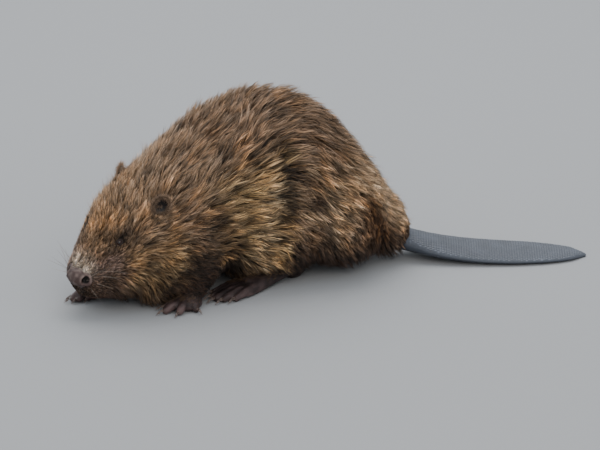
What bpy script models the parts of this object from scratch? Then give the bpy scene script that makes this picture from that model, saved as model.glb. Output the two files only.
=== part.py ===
"""A young adult beaver walking low with its head turned to its left, as a still, life-size model.

Units are metres. +X is the way the trunk faces, +Y is the animal's left, +Z is up, and the floor is Z = 0.
The outline is that of the coat. The body is modelled whole, as one skin round a bent spine with limbs and
muscle masses pushed into it, and then parted with thin cuts into head, neck, trunk, legs and tail base.
Ears, nose, eyes, paws, claws and the flat tail are modelled on their own and meet it face to face.
"""

import math
from collections import namedtuple

import bmesh
import bpy
import numpy as np
from mathutils import Matrix, Vector

for leftover in list(bpy.data.objects):
    bpy.data.objects.remove(leftover)

# ---------------------------------------------------------------- driving dimensions

GAP = 0.0004  # clear space between two neighbouring pieces
SPINE_LENGTH = 0.477  # from the tail's root to the tip of the muzzle, along the floor
TAIL_ROOT = (0.0, -0.005)  # where the spine starts, in plan
SECTION_SIDES = 36  # corners of a ring round the body
SECTIONS = 56  # rings along the body
BACK_NARROWING = 0.13  # how much narrower than an oval the body is along its back
BODY_VOXEL = 0.0045  # grid on which the body's masses melt together
BODY_SMOOTHING = 7
BODY_TRIANGLES = 2200
LEG_ROOM = 0.007  # how far a leg's cut stands off its own masses
LEG_ROOM_TRIANGLES = 110
FOOT_VOXEL = 0.0014
FOOT_SMOOTHING = 3
FOOT_TRIANGLES = 290
CUT_BOX = 0.7  # side of the boxes that part the body
UP = Vector((0, 0, 1))

EYE_RADIUS = 0.0052
# Each ear, left 1 and right -1: place along the spine, out to the side and up. The right one is laid back.
EAR_PLACES = {1: (0.364, 0.0475, 0.0575), -1: (0.352, 0.0435, 0.0620)}
EAR_HEIGHT = 0.031
EAR_WIDTH = 0.025
EAR_THICKNESS = 0.0062
NOSE_RADII = (0.0120, 0.0205, 0.0122)  # ahead, to the side, up
TAIL_LENGTH = 0.262  # flat tail, from inside the furred root to the tip
TAIL_WIDTH = 0.090
DIGIT_RADIUS = 0.0052
CLAW_LENGTH = 0.012
CLAW_RADIUS = 0.0022

# One section of the body: how far along the spine, how high its centre is, which way the spine heads,
# climbs and rolls there in degrees, and how far the coat reaches to each side, above and below the centre.
Section = namedtuple("Section", "name along height yaw pitch roll side above below")
SECTIONS_OF_BODY = [
    Section("tail root", 0.000, 0.040, -27, 30, 0, 0.034, 0.026, 0.024),
    Section("rump", 0.035, 0.062, -25, 42, 0, 0.064, 0.038, 0.044),
    Section("croup", 0.080, 0.084, -18, 34, 0, 0.091, 0.069, 0.064),
    Section("loin", 0.140, 0.100, -9, 16, 0, 0.110, 0.119, 0.084),
    Section("back", 0.200, 0.104, 2, 0, 0, 0.113, 0.130, 0.091),
    Section("ribs", 0.250, 0.104, 14, -8, 0, 0.102, 0.107, 0.094),
    Section("withers", 0.290, 0.102, 24, -14, -1, 0.087, 0.090, 0.092),
    Section("nape", 0.325, 0.100, 27, -20, -4, 0.078, 0.082, 0.092),
    Section("ears", 0.355, 0.096, 19, -27, -8, 0.074, 0.076, 0.095),
    Section("crown", 0.382, 0.088, 14, -33, -10, 0.069, 0.069, 0.089),
    Section("brow", 0.406, 0.076, 12, -36, -10, 0.061, 0.058, 0.077),
    Section("bridge", 0.430, 0.063, 11, -36, -10, 0.049, 0.042, 0.060),
    Section("muzzle", 0.452, 0.053, 11, -30, -9, 0.039, 0.028, 0.044),
    Section("nose", 0.468, 0.047, 11, -22, -8, 0.030, 0.018, 0.032),
    Section("nose tip", 0.477, 0.044, 11, -18, -8, 0.021, 0.012, 0.023),
]
# Masses on each side of the head, as place along the spine, out to the side and up, and radii.
HEAD_MASSES = [
    (0.378, 0.034, -0.040, (0.058, 0.040, 0.040)),  # cheek
    (0.413, 0.029, 0.018, (0.024, 0.015, 0.014)),  # brow
    (0.449, 0.016, -0.014, (0.020, 0.019, 0.021)),  # upper lip
    (0.428, 0.013, -0.032, (0.030, 0.021, 0.020)),  # chin
]
# The mass of each flank, in front of the thigh.
FLANK = (0.233, 0.050, -0.024, (0.086, 0.060, 0.068))
# The coat round the tail's root: centre and radii.
TAIL_BULGE = ((0.020, 0.000, 0.043), (0.032, 0.038, 0.030))

# Each limb: joints from the body down to the wrist or ankle, and the coat's radius at each.
LIMBS = {
    "foreleg_left": (
        [(0.262, -0.010, 0.082), (0.286, 0.030, 0.056), (0.316, 0.056, 0.023)],
        (0.045, 0.030, 0.016),
    ),
    "foreleg_right": (
        [(0.280, -0.098, 0.085), (0.342, -0.096, 0.052), (0.396, -0.042, 0.021)],
        (0.045, 0.029, 0.016),
    ),
    "hindleg_left": (
        [(0.125, 0.010, 0.085), (0.188, 0.026, 0.050), (0.158, 0.012, 0.027)],
        (0.050, 0.034, 0.021),
    ),
    "hindleg_right": (
        [(0.098, -0.095, 0.085), (0.160, -0.115, 0.050), (0.124, -0.108, 0.027)],
        (0.050, 0.034, 0.021),
    ),
}
# Each thigh: centre, radii ahead, to the side and up, and heading.
THIGHS = {
    "hindleg_left": ((0.103, 0.008, 0.077), (0.076, 0.064, 0.063), -18),
    "hindleg_right": ((0.088, -0.092, 0.077), (0.076, 0.064, 0.063), -14),
}

# A foot: where its palm or heel stands on the floor, its heading, and for each digit, thumb or inner toe
# first, how far it fans out from that heading and how far it reaches without its claw.
Foot = namedtuple("Foot", "x y heading fans reaches")
HIND_TOE_REACHES = (0.134, 0.146, 0.150, 0.146, 0.134)
FOREPAWS = {
    "left": Foot(0.3255, 0.0615, 30, fans=(-78, -43, -20, 11, 66), reaches=(0.018, 0.030, 0.037, 0.030, 0.019)),
    "right": Foot(0.412, -0.033, 12, fans=(34, 13, 1, -9, -20), reaches=(0.018, 0.028, 0.032, 0.027, 0.021)),
}
HIND_FEET = {
    "left": Foot(0.147, 0.006, 20, fans=(-10, -5, -1, 3, 7), reaches=HIND_TOE_REACHES),
    "right": Foot(0.113, -0.106, -16, fans=(9, 4.5, 0, -4.5, -9), reaches=HIND_TOE_REACHES),
}

# The flat tail, keyed by share of its length: half width as a share of the widest, half thickness, and
# height of its middle.
TAIL_KEYS = (0.0, 0.10, 0.22, 0.40, 0.58, 0.75, 0.88, 0.96, 1.0)
TAIL_HALF_WIDTHS = (0.44, 0.58, 0.82, 0.98, 1.0, 0.90, 0.66, 0.38, 0.08)
TAIL_HALF_THICKNESSES = (0.0150, 0.0135, 0.0100, 0.0068, 0.0056, 0.0048, 0.0040, 0.0034, 0.0016)
TAIL_HEIGHTS = (0.0310, 0.0240, 0.0160, 0.0085, 0.0052, 0.0043, 0.0035, 0.0029, 0.0014)
TAIL_START = (0.018, -0.0145)
TAIL_HEADING = 152.4
TAIL_SIDES = 16
TAIL_SECTIONS = 14

COLOURS = {  # base colour and roughness
    "coat": ((0.30, 0.19, 0.10), 0.85),
    "limb_coat": ((0.16, 0.10, 0.06), 0.85),
    "bare_skin": ((0.13, 0.085, 0.075), 0.55),
    "tail_scales": ((0.12, 0.125, 0.14), 0.45),
    "nose_leather": ((0.16, 0.11, 0.10), 0.5),
    "ear_skin": ((0.10, 0.075, 0.065), 0.7),
    "eye": ((0.012, 0.009, 0.008), 0.08),
    "claw": ((0.22, 0.16, 0.13), 0.4),
}

# ---------------------------------------------------------------- shapes


def smooth_curve(keys, values, at):
    """Smooth cubic curve through the values at the keys, read at the given places."""
    keys, values = np.asarray(keys, float), np.asarray(values, float)
    slopes = np.gradient(values, keys)
    cell = np.clip(np.searchsorted(keys, at, side="right") - 1, 0, len(keys) - 2)
    span = keys[cell + 1] - keys[cell]
    t = (np.asarray(at, float) - keys[cell]) / span
    return (
        (2 * t**3 - 3 * t**2 + 1) * values[cell]
        + (t**3 - 2 * t**2 + t) * span * slopes[cell]
        + (3 * t**2 - 2 * t**3) * values[cell + 1]
        + (t**3 - t**2) * span * slopes[cell + 1]
    )


def mesh_object(name, bm):
    """A scene object that holds the bmesh, with its faces pointing out."""
    bmesh.ops.recalc_face_normals(bm, faces=bm.faces)
    mesh = bpy.data.meshes.new(name)
    bm.to_mesh(mesh)
    bm.free()
    obj = bpy.data.objects.new(name, mesh)
    bpy.context.scene.collection.objects.link(obj)
    return obj


def hide(obj):
    obj.hide_render = True
    obj.display_type = "WIRE"
    return obj


def loft(bm, rings):
    """Closed tube through the rings, which are lists of points with the same count."""
    loops = [[bm.verts.new(point) for point in ring] for ring in rings]
    count = len(loops[0])
    for near, far in zip(loops, loops[1:]):
        for i in range(count):
            j = (i + 1) % count
            bm.faces.new((near[i], near[j], far[j], far[i]))
    bm.faces.new(loops[0][::-1])
    bm.faces.new(loops[-1])


def add_ball(bm, place, detail):
    bmesh.ops.create_icosphere(bm, subdivisions=detail, radius=1.0, matrix=place)


def add_ellipsoid(bm, centre, radii, yaw=0.0, pitch=0.0, detail=4):
    """Ellipsoid with its first radius along the heading given by yaw and pitch, in degrees."""
    turn = Matrix.Rotation(math.radians(yaw), 4, "Z") @ Matrix.Rotation(math.radians(-pitch), 4, "Y")
    add_ball(bm, Matrix.Translation(centre) @ turn @ Matrix.Diagonal((*radii, 1.0)), detail)


def add_limb(bm, joints, radii, sides=14, steps=5, flatten=1.0, ends=(0.4, 0.75, 0.97)):
    """Tapered tube with round ends along a smooth line through the joints. Flatten scales its height."""
    joints = [Vector(joint) for joint in joints]
    keys = np.arange(len(joints))
    places = np.linspace(0, len(joints) - 1, steps * (len(joints) - 1) + 1)
    axes = [smooth_curve(keys, [joint[i] for joint in joints], places) for i in range(3)]
    line = [Vector(point) for point in zip(*axes)]
    widths = smooth_curve(keys, radii, places)
    last = len(line) - 1
    directions = [(line[min(i + 1, last)] - line[max(i - 1, 0)]).normalized() for i in range(last + 1)]
    rings = []

    def ring(centre, direction, radius):
        side = direction.cross(UP).normalized() * radius
        top = side.cross(direction) * flatten
        turns = [2 * math.pi * k / sides for k in range(sides)]
        rings.append([centre + side * math.cos(turn) + top * math.sin(turn) for turn in turns])

    def cap(i, outward, share):
        """One ring of a round end, that share of its radius beyond the line's first or last point."""
        centre = line[i] + directions[i] * outward * widths[i] * share
        ring(centre, directions[i], widths[i] * math.sqrt(1 - share * share))

    for share in reversed(ends):
        cap(0, -1, share)
    for point, direction, width in zip(line, directions, widths):
        ring(point, direction, width)
    for share in ends:
        cap(-1, 1, share)
    loft(bm, rings)


def evaluated_copy(name, obj):
    """A new hidden object whose mesh is obj with its modifiers applied."""
    bpy.context.view_layer.update()
    graph = bpy.context.evaluated_depsgraph_get()
    mesh = bpy.data.meshes.new_from_object(obj.evaluated_get(graph))
    copy = bpy.data.objects.new(name, mesh)
    bpy.context.scene.collection.objects.link(copy)
    return hide(copy)


def melted(name, bm, voxel, smoothing, triangles):
    """The bmesh's overlapping closed shapes made one smooth skin with about that many triangles."""
    rough = mesh_object(name + "_rough", bm)
    remesh = rough.modifiers.new("melt", "REMESH")
    remesh.mode = "VOXEL"
    remesh.voxel_size = voxel
    smooth = rough.modifiers.new("relax", "SMOOTH")
    smooth.factor = 0.5
    smooth.iterations = smoothing
    fine = evaluated_copy(name + "_fine", rough)
    facets = fine.modifiers.new("facets", "DECIMATE")
    facets.ratio = min(1.0, triangles / sum(len(face.vertices) - 2 for face in fine.data.polygons))
    skin = evaluated_copy(name, fine)
    for helper in (rough, fine):
        bpy.data.objects.remove(helper)
    return skin


def inflated(name, obj, by):
    """Hidden copy of obj whose surface stands that much further out, for cutting a neighbour with a gap."""
    swollen = bpy.data.objects.new(name, obj.data)
    bpy.context.scene.collection.objects.link(swollen)
    swell = swollen.modifiers.new("swell", "DISPLACE")
    swell.mid_level = 0.0
    swell.strength = by
    copy = evaluated_copy(name, swollen)
    bpy.data.objects.remove(swollen)
    return copy


def cut(obj, cutter, operation="DIFFERENCE"):
    boolean = obj.modifiers.new(operation.lower(), "BOOLEAN")
    boolean.operation = operation
    boolean.solver = "MANIFOLD"
    boolean.object = cutter


# ---------------------------------------------------------------- the spine

ALONG = [section.along for section in SECTIONS_OF_BODY]


def along_spine(field, at):
    return smooth_curve(ALONG, [getattr(section, field) for section in SECTIONS_OF_BODY], at)


STATIONS = np.linspace(0, SPINE_LENGTH, 400)
HEADINGS = np.radians(along_spine("yaw", STATIONS))
STEP = STATIONS[1]
SPINE_X = TAIL_ROOT[0] + np.concatenate([[0], np.cumsum(np.cos(HEADINGS[:-1]) * STEP)])
SPINE_Y = TAIL_ROOT[1] + np.concatenate([[0], np.cumsum(np.sin(HEADINGS[:-1]) * STEP)])
HEAD_YAW = float(along_spine("yaw", 0.415))
HEAD_PITCH = float(along_spine("pitch", 0.415))


def spine_frame(at):
    """The body's centre at a place along the spine, with its forward, left and up directions there."""
    yaw, pitch, roll = (math.radians(float(along_spine(field, at))) for field in ("yaw", "pitch", "roll"))
    plan = np.interp(at, STATIONS, SPINE_X), np.interp(at, STATIONS, SPINE_Y)
    centre = Vector((*plan, along_spine("height", at)))
    forward = Vector((math.cos(yaw) * math.cos(pitch), math.sin(yaw) * math.cos(pitch), math.sin(pitch)))
    left = Matrix.Rotation(roll, 3, forward) @ Vector((-math.sin(yaw), math.cos(yaw), 0))
    return centre, forward, left, forward.cross(left)


def on_body(at, left_by, up_by, ahead_by=0.0):
    """A point given from the body's centre at a place along the spine."""
    centre, forward, left, up = spine_frame(at)
    return centre + left * left_by + up * up_by + forward * ahead_by


# ---------------------------------------------------------------- the body under one coat


def body_sections():
    rings = []
    for at in np.linspace(0, SPINE_LENGTH, SECTIONS):
        centre, _, left, up = spine_frame(at)
        side, above, below = (float(along_spine(field, at)) for field in ("side", "above", "below"))
        ring = []
        for k in range(SECTION_SIDES):
            turn = 2 * math.pi * k / SECTION_SIDES
            rise = math.sin(turn)
            width = side * math.cos(turn) * (1 - BACK_NARROWING * max(rise, 0))
            ring.append(centre + left * width + up * (above if rise > 0 else below) * rise)
        rings.append(ring)
    return rings


def add_leg(bm, name, swell=0.0):
    """One leg's masses, or with some swell the room that they take out of the body."""
    joints, radii = LIMBS[name]
    add_limb(bm, joints, [radius + swell for radius in radii])
    if name in THIGHS:
        centre, thigh_radii, yaw = THIGHS[name]
        add_ellipsoid(bm, centre, [radius + swell for radius in thigh_radii], yaw=yaw)


def body_masses():
    bm = bmesh.new()
    loft(bm, body_sections())
    for name in LIMBS:
        add_leg(bm, name)
    for side in (1, -1):
        for at, left_by, up_by, radii in HEAD_MASSES:
            add_ellipsoid(bm, on_body(at, side * left_by, up_by), radii, HEAD_YAW, HEAD_PITCH)
        at, left_by, up_by, radii = FLANK
        add_ellipsoid(bm, on_body(at, side * left_by, up_by), radii, float(along_spine("yaw", at)))
    add_ellipsoid(bm, *TAIL_BULGE, yaw=float(along_spine("yaw", 0)))
    return bm


# ---------------------------------------------------------------- paws and claws


def foot_point(foot, ahead, left, height):
    turn = math.radians(foot.heading)
    x = foot.x + ahead * math.cos(turn) - left * math.sin(turn)
    y = foot.y + ahead * math.sin(turn) + left * math.cos(turn)
    return Vector((x, y, height))


def digit_point(foot, digit, reach, height):
    turn = math.radians(foot.fans[digit])
    return foot_point(foot, reach * math.cos(turn), reach * math.sin(turn), height)


def add_digits(bm, foot, knuckles):
    """Every digit of a foot through its knuckles, each a share of the digit's reach and a height."""
    for digit, reach in enumerate(foot.reaches):
        line = [digit_point(foot, digit, share * reach, height) for share, height in knuckles]
        add_limb(bm, line, (DIGIT_RADIUS * 1.08, DIGIT_RADIUS, DIGIT_RADIUS * 0.8), sides=10, steps=3)


def forepaw_form(foot):
    bm = bmesh.new()
    add_ellipsoid(bm, foot_point(foot, 0, 0, 0.0080), (0.0185, 0.0155, 0.0100), yaw=foot.heading, detail=3)
    wrist = [foot_point(foot, -0.016, 0, 0.022), foot_point(foot, -0.004, 0, 0.011)]
    add_limb(bm, wrist, (0.0125, 0.0115), steps=3)
    add_digits(bm, foot, ((0.20, 0.0090), (0.62, 0.0088), (0.94, 0.0042)))
    return bm


def hind_foot_form(foot):
    bm = bmesh.new()
    add_ellipsoid(bm, foot_point(foot, 0.008, 0, 0.0120), (0.017, 0.0125, 0.0140), yaw=foot.heading, detail=3)
    instep = ((0.008, 0.017), (0.050, 0.012), (0.088, 0.007))
    joints = [foot_point(foot, ahead, 0, height) for ahead, height in instep]
    add_limb(bm, joints, (0.0145, 0.0155, 0.0175), steps=4, flatten=0.62)
    add_digits(bm, foot, ((0.50, 0.0080), (0.78, 0.0082), (0.965, 0.0044)))
    web = foot_point(foot, 0.104, 0, 0.0035)
    add_ellipsoid(bm, web, (0.034, 0.0195, 0.0032), yaw=foot.heading, detail=3)
    return bm


def claw_form(foot, digit):
    reach = foot.reaches[digit]
    line = ((-0.15, 0.0057), (0.45, 0.0054), (1.0, 0.0019))
    joints = [digit_point(foot, digit, reach + share * CLAW_LENGTH, height) for share, height in line]
    bm = bmesh.new()
    add_limb(bm, joints, (CLAW_RADIUS, CLAW_RADIUS * 0.85, CLAW_RADIUS * 0.3), sides=5, steps=1, ends=(0.6,))
    return bm


# ---------------------------------------------------------------- tail, ears, eyes and nose


def tail_form():
    bm = bmesh.new()
    heading = math.radians(TAIL_HEADING)
    ahead = Vector((math.cos(heading), math.sin(heading), 0))
    left = UP.cross(ahead)
    rings = []
    for t in np.linspace(0, 1, TAIL_SECTIONS):
        half_width = smooth_curve(TAIL_KEYS, TAIL_HALF_WIDTHS, t) * TAIL_WIDTH / 2
        half_thickness = smooth_curve(TAIL_KEYS, TAIL_HALF_THICKNESSES, t)
        middle = Vector((*TAIL_START, smooth_curve(TAIL_KEYS, TAIL_HEIGHTS, t))) + ahead * TAIL_LENGTH * t
        ring = []
        for k in range(TAIL_SIDES):
            turn = 2 * math.pi * k / TAIL_SIDES
            ring.append(middle + left * half_width * math.cos(turn) + UP * half_thickness * math.sin(turn))
        rings.append(ring)
    loft(bm, rings)
    return bm


def ear_place(side):
    """Where an ear stands: its axes are the way its hollow faces, its width and its height."""
    at, out, high = EAR_PLACES[side]
    centre = on_body(at, side * out, high)
    _, forward, left, up = spine_frame(0.40)
    height = (left * side * 0.20 + up * 0.62 - forward * 0.72).normalized()
    faces = forward * 0.62 + left * side * 0.78
    faces = (faces - height * faces.dot(height)).normalized()
    return Matrix.Translation(centre) @ Matrix((faces, height.cross(faces), height)).transposed().to_4x4()


def ear_form(side):
    bm = bmesh.new()
    add_ball(bm, ear_place(side) @ Matrix.Diagonal((EAR_THICKNESS / 2, EAR_WIDTH / 2, EAR_HEIGHT / 2, 1)), 2)
    return bm


def ear_hollow(side):
    bm = bmesh.new()
    size = Matrix.Diagonal((EAR_THICKNESS * 0.85, EAR_WIDTH * 0.36, EAR_HEIGHT * 0.37, 1))
    add_ball(bm, ear_place(side) @ Matrix.Translation((EAR_THICKNESS * 0.75, 0, 0.001)) @ size, 2)
    return bm


def eye_form(side, radius):
    bm = bmesh.new()
    add_ball(bm, Matrix.Translation(on_body(0.4183, side * 0.0275, 0.0350)) @ Matrix.Scale(radius, 4), 2)
    return bm


def nose_form():
    bm = bmesh.new()
    add_ellipsoid(bm, on_body(0.472, 0.0, 0.003), NOSE_RADII, HEAD_YAW, HEAD_PITCH / 2, detail=2)
    return bm


def nostril(side):
    bm = bmesh.new()
    place = on_body(0.472, side * 0.0165, 0.005, 0.0045)
    add_ellipsoid(bm, place, (0.0060, 0.0040, 0.0046), HEAD_YAW + side * 62, HEAD_PITCH / 2, detail=2)
    return bm


# ---------------------------------------------------------------- building the pieces


def principled(name):
    colour, roughness = COLOURS[name]
    material = bpy.data.materials.new(name)
    material.use_nodes = True
    shader = material.node_tree.nodes["Principled BSDF"]
    shader.inputs["Base Color"].default_value = (*colour, 1)
    shader.inputs["Roughness"].default_value = roughness
    return material


MATERIALS = {name: principled(name) for name in COLOURS}


def finish(obj, material):
    """Gives a visible piece its material and smooth shading."""
    obj.hide_render = False
    obj.display_type = "TEXTURED"
    obj.data.materials.clear()
    obj.data.materials.append(MATERIALS[material])
    obj.data.shade_smooth()
    obj.data.set_sharp_from_angle(angle=math.radians(40))
    return obj


def box_across_spine(name, at, ahead, level=False):
    """Hidden box whose one face crosses the spine there, for the body ahead of it or behind it."""
    centre, forward, _, _ = spine_frame(at)
    if level:
        forward = Vector((forward.x, forward.y, 0)).normalized()
    left = UP.cross(forward).normalized()
    centre = centre + forward * (1 if ahead else -1) * (CUT_BOX + GAP) / 2
    turn = Matrix((forward, left, forward.cross(left))).transposed().to_4x4()
    bm = bmesh.new()
    bmesh.ops.create_cube(bm, size=CUT_BOX, matrix=Matrix.Translation(centre) @ turn)
    return hide(mesh_object(name, bm))


def part_of_body(name, material, keep_in, keep_out=()):
    """A node cut out of the whole body."""
    part = bpy.data.objects.new(name, body.data.copy())
    bpy.context.scene.collection.objects.link(part)
    for cutter in keep_in:
        cut(part, cutter, "INTERSECT")
    for cutter in keep_out:
        cut(part, cutter)
    return finish(part, material)


floor_bm = bmesh.new()
bmesh.ops.create_cube(floor_bm, size=2.0, matrix=Matrix.Translation((0, 0, -1.0)))
floor = hide(mesh_object("floor_cutter", floor_bm))

body = melted("body", body_masses(), BODY_VOXEL, BODY_SMOOTHING, BODY_TRIANGLES)
body_cutter = inflated("body_cutter", body, GAP)

leg_rooms, leg_cutters = {}, []
for leg in LIMBS:
    room = bmesh.new()
    add_leg(room, leg, LEG_ROOM)
    leg_rooms[leg] = melted(leg + "_room", room, BODY_VOXEL, 2, LEG_ROOM_TRIANGLES)
    leg_cutters.append(inflated(leg + "_cutter", leg_rooms[leg], GAP))

eye_sockets = []
for side, which in ((1, "left"), (-1, "right")):
    finish(mesh_object("eye_" + which, eye_form(side, EYE_RADIUS)), "eye")
    eye_sockets.append(hide(mesh_object("eye_socket_" + which, eye_form(side, EYE_RADIUS + GAP))))

NAPE, CHEST, RUMP = 0.340, 0.288, 0.022  # where the cuts cross the spine
part_of_body("head", "coat", [box_across_spine("nape_front", NAPE, True)], leg_cutters + eye_sockets)
neck_range = [box_across_spine("nape_back", NAPE, False), box_across_spine("chest_front", CHEST, True, level=True)]
part_of_body("neck", "coat", neck_range, leg_cutters)
trunk_range = [
    box_across_spine("chest_back", CHEST, False, level=True),
    box_across_spine("rump_front", RUMP, True, level=True),
]
part_of_body("trunk", "coat", trunk_range, leg_cutters)
part_of_body("tail_base", "coat", [box_across_spine("rump_back", RUMP, False, level=True)], leg_cutters)
for i, leg in enumerate(LIMBS):
    part_of_body(leg, "limb_coat" if leg.startswith("fore") else "coat", [leg_rooms[leg]], leg_cutters[:i])

tail = finish(mesh_object("tail", tail_form()), "tail_scales")
cut(tail, floor)
cut(tail, body_cutter)

for side, which in ((1, "left"), (-1, "right")):
    ear = finish(mesh_object("ear_" + which, ear_form(side)), "ear_skin")
    cut(ear, hide(mesh_object("ear_hollow_" + which, ear_hollow(side))))
    cut(ear, body_cutter)

nose = finish(mesh_object("nose", nose_form()), "nose_leather")
for side in (1, -1):
    cut(nose, hide(mesh_object("nostril_cutter", nostril(side))))
cut(nose, body_cutter)

for feet, kind, form in ((FOREPAWS, "forepaw", forepaw_form), (HIND_FEET, "hind_foot", hind_foot_form)):
    for which, foot in feet.items():
        name = kind + "_" + which
        shape = melted(name + "_form", form(foot), FOOT_VOXEL, FOOT_SMOOTHING, FOOT_TRIANGLES)
        paw = bpy.data.objects.new(name, shape.data.copy())
        bpy.context.scene.collection.objects.link(paw)
        cut(paw, floor)
        cut(paw, body_cutter)
        finish(paw, "bare_skin")
        paw_cutter = inflated(name + "_cutter", shape, GAP)
        for digit in range(len(foot.reaches)):
            claw = finish(mesh_object(f"claw_{name}_{digit + 1}", claw_form(foot, digit)), "claw")
            cut(claw, paw_cutter)

# ---------------------------------------------------------------- origin under the middle of the model

bpy.context.view_layer.update()
graph = bpy.context.evaluated_depsgraph_get()
corners = []
for obj in bpy.context.scene.objects:
    if not obj.hide_render:
        corners += [Vector(corner) for corner in obj.evaluated_get(graph).bound_box]
low, high = np.min(corners, axis=0), np.max(corners, axis=0)
SHIFT = Vector((-(low[0] + high[0]) / 2, -(low[1] + high[1]) / 2, 0))
for obj in bpy.context.scene.objects:
    obj.location = SHIFT
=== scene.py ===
"""Looks of a young adult beaver that walks low with its head turned to its left.

One skin stands for all the flesh. Over it lies the coat, in locks and finer hairs that follow the lie of the
fur, and the flat tail carries low horny scales. Eyes, whiskers and claws are pieces of their own. Lengths are
in metres, in the part's own frame: +X is the way the trunk faces, +Y the animal's left, +Z up.
"""

import math

import bmesh
import bpy
import numpy as np
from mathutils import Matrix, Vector
from mathutils.bvhtree import BVHTree
from mathutils.kdtree import KDTree


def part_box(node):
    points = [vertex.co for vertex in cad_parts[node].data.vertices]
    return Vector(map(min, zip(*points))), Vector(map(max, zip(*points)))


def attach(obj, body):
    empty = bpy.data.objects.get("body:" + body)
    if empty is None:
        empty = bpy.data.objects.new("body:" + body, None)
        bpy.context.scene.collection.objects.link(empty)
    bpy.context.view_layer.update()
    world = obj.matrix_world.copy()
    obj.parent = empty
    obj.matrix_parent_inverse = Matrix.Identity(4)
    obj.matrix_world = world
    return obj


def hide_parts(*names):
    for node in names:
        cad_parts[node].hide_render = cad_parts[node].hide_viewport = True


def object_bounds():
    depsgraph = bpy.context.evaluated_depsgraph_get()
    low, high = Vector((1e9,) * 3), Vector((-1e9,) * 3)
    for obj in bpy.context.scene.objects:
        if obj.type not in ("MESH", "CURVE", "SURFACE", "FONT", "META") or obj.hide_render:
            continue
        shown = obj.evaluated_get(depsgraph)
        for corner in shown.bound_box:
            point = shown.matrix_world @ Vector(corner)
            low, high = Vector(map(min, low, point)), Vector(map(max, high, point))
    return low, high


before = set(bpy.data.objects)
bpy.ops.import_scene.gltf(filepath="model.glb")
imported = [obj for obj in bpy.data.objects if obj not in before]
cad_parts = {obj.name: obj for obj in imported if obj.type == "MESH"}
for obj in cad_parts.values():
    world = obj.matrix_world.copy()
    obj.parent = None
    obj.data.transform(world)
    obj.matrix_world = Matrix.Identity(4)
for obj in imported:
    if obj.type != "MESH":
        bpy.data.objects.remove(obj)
CAD_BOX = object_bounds()
MM = 0.001

# ---------------------------------------------------------------- what is made of what

SIDES = ("left", "right")
FURRED = ["head", "neck", "trunk", "tail_base"]
FURRED += [f"{leg}_{side}" for leg in ("foreleg", "hindleg") for side in SIDES]
PAWS = [f"{foot}_{side}" for foot in ("forepaw", "hind_foot") for side in SIDES]
EARS = [f"ear_{side}" for side in SIDES]
BARE = PAWS + EARS + ["nose", "tail"]

# ---------------------------------------------------------------- small tools


def unit(v):
    return v / np.maximum(np.linalg.norm(v, axis=-1, keepdims=True), 1e-12)


def norm(v):
    return np.linalg.norm(v, axis=-1)


def dot(a, b):
    return (a * b).sum(axis=-1, keepdims=True)


def step(low, high, x):
    """0 below low, 1 above high and smooth between them. High may be the lower one."""
    t = np.clip((x - low) / (high - low), 0, 1)
    return t * t * (3 - 2 * t)


def bell(x, width):
    """1 where x is 0, falling to nearly 0 at twice the width on both sides."""
    return np.exp(-((x / width) ** 2))


def mix(a, b, share):
    share = np.asarray(share)[..., None]
    return a * (1 - share) + b * share


def blended(colours, *layers):
    """The colours with layers mixed over them in turn, each given as a colour and its share."""
    for colour, share in layers:
        colours = mix(colours, colour, share)
    return colours


def srgb(red, green, blue):
    """A colour given as a screen shows it, as the linear values that shaders use."""
    c = np.array([red, green, blue]) / 255
    return np.where(c <= 0.04045, c / 12.92, ((c + 0.055) / 1.055) ** 2.4)


def noise(points, size, seed):
    """Smooth random field with a spread of about 1 and blobs of about that size."""
    random = np.random.default_rng(seed)
    waves = unit(random.normal(size=(24, 3))) * random.uniform(0.6, 1.5, (24, 1)) * math.pi / size
    return np.cos(points @ waves.T + random.uniform(0, 2 * math.pi, 24)).sum(axis=1) / math.sqrt(12)


def read(sequence, field, width, kind=np.float32):
    values = np.empty(len(sequence) * width, kind)
    sequence.foreach_get(field, values)
    values = values.reshape(-1, width)
    return values.astype(float) if kind == np.float32 else values


def triangles_of(mesh):
    mesh.calc_loop_triangles()
    return read(mesh.loop_triangles, "vertices", 3, np.int32)


def arrays_of(mesh):
    return read(mesh.vertices, "co", 3), triangles_of(mesh)


def middle(node):
    low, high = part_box(node)
    return np.array((low + high) / 2)


def placed(name, data):
    """A new object with these data, in the scene."""
    obj = bpy.data.objects.new(name, data)
    bpy.context.scene.collection.objects.link(obj)
    return obj


def mesh_piece(name, points, triangles, material=None):
    """A new piece from arrays of points and triangles."""
    mesh = bpy.data.meshes.new(name)
    mesh.vertices.add(len(points))
    mesh.vertices.foreach_set("co", np.asarray(points, np.float32).ravel())
    mesh.loops.add(len(triangles) * 3)
    mesh.loops.foreach_set("vertex_index", np.asarray(triangles, np.int32).ravel())
    mesh.polygons.add(len(triangles))
    mesh.polygons.foreach_set("loop_start", np.arange(0, len(triangles) * 3, 3, dtype=np.int32))
    mesh.update(calc_edges=True)
    mesh.polygons.foreach_set("use_smooth", np.full(len(triangles), True))
    if material:
        mesh.materials.append(material)
    return placed(name, mesh)


def colour_points(mesh, name, colours):
    layer = mesh.color_attributes.new(name, "FLOAT_COLOR", "POINT")
    rgba = np.concatenate([colours, np.ones((len(colours), 1))], axis=1)
    layer.data.foreach_set("color", rgba.astype(np.float32).ravel())


def value_points(mesh, name, values):
    mesh.attributes.new(name, "FLOAT", "POINT").data.foreach_set("value", np.asarray(values, np.float32))


def map_points(mesh, triangles, places):
    """The map that the coat is baked on, from a place on it for each point."""
    layer = mesh.uv_layers.new(name="OFBake")
    layer.uv.foreach_set("vector", places[triangles.ravel()].astype(np.float32).ravel())


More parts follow.
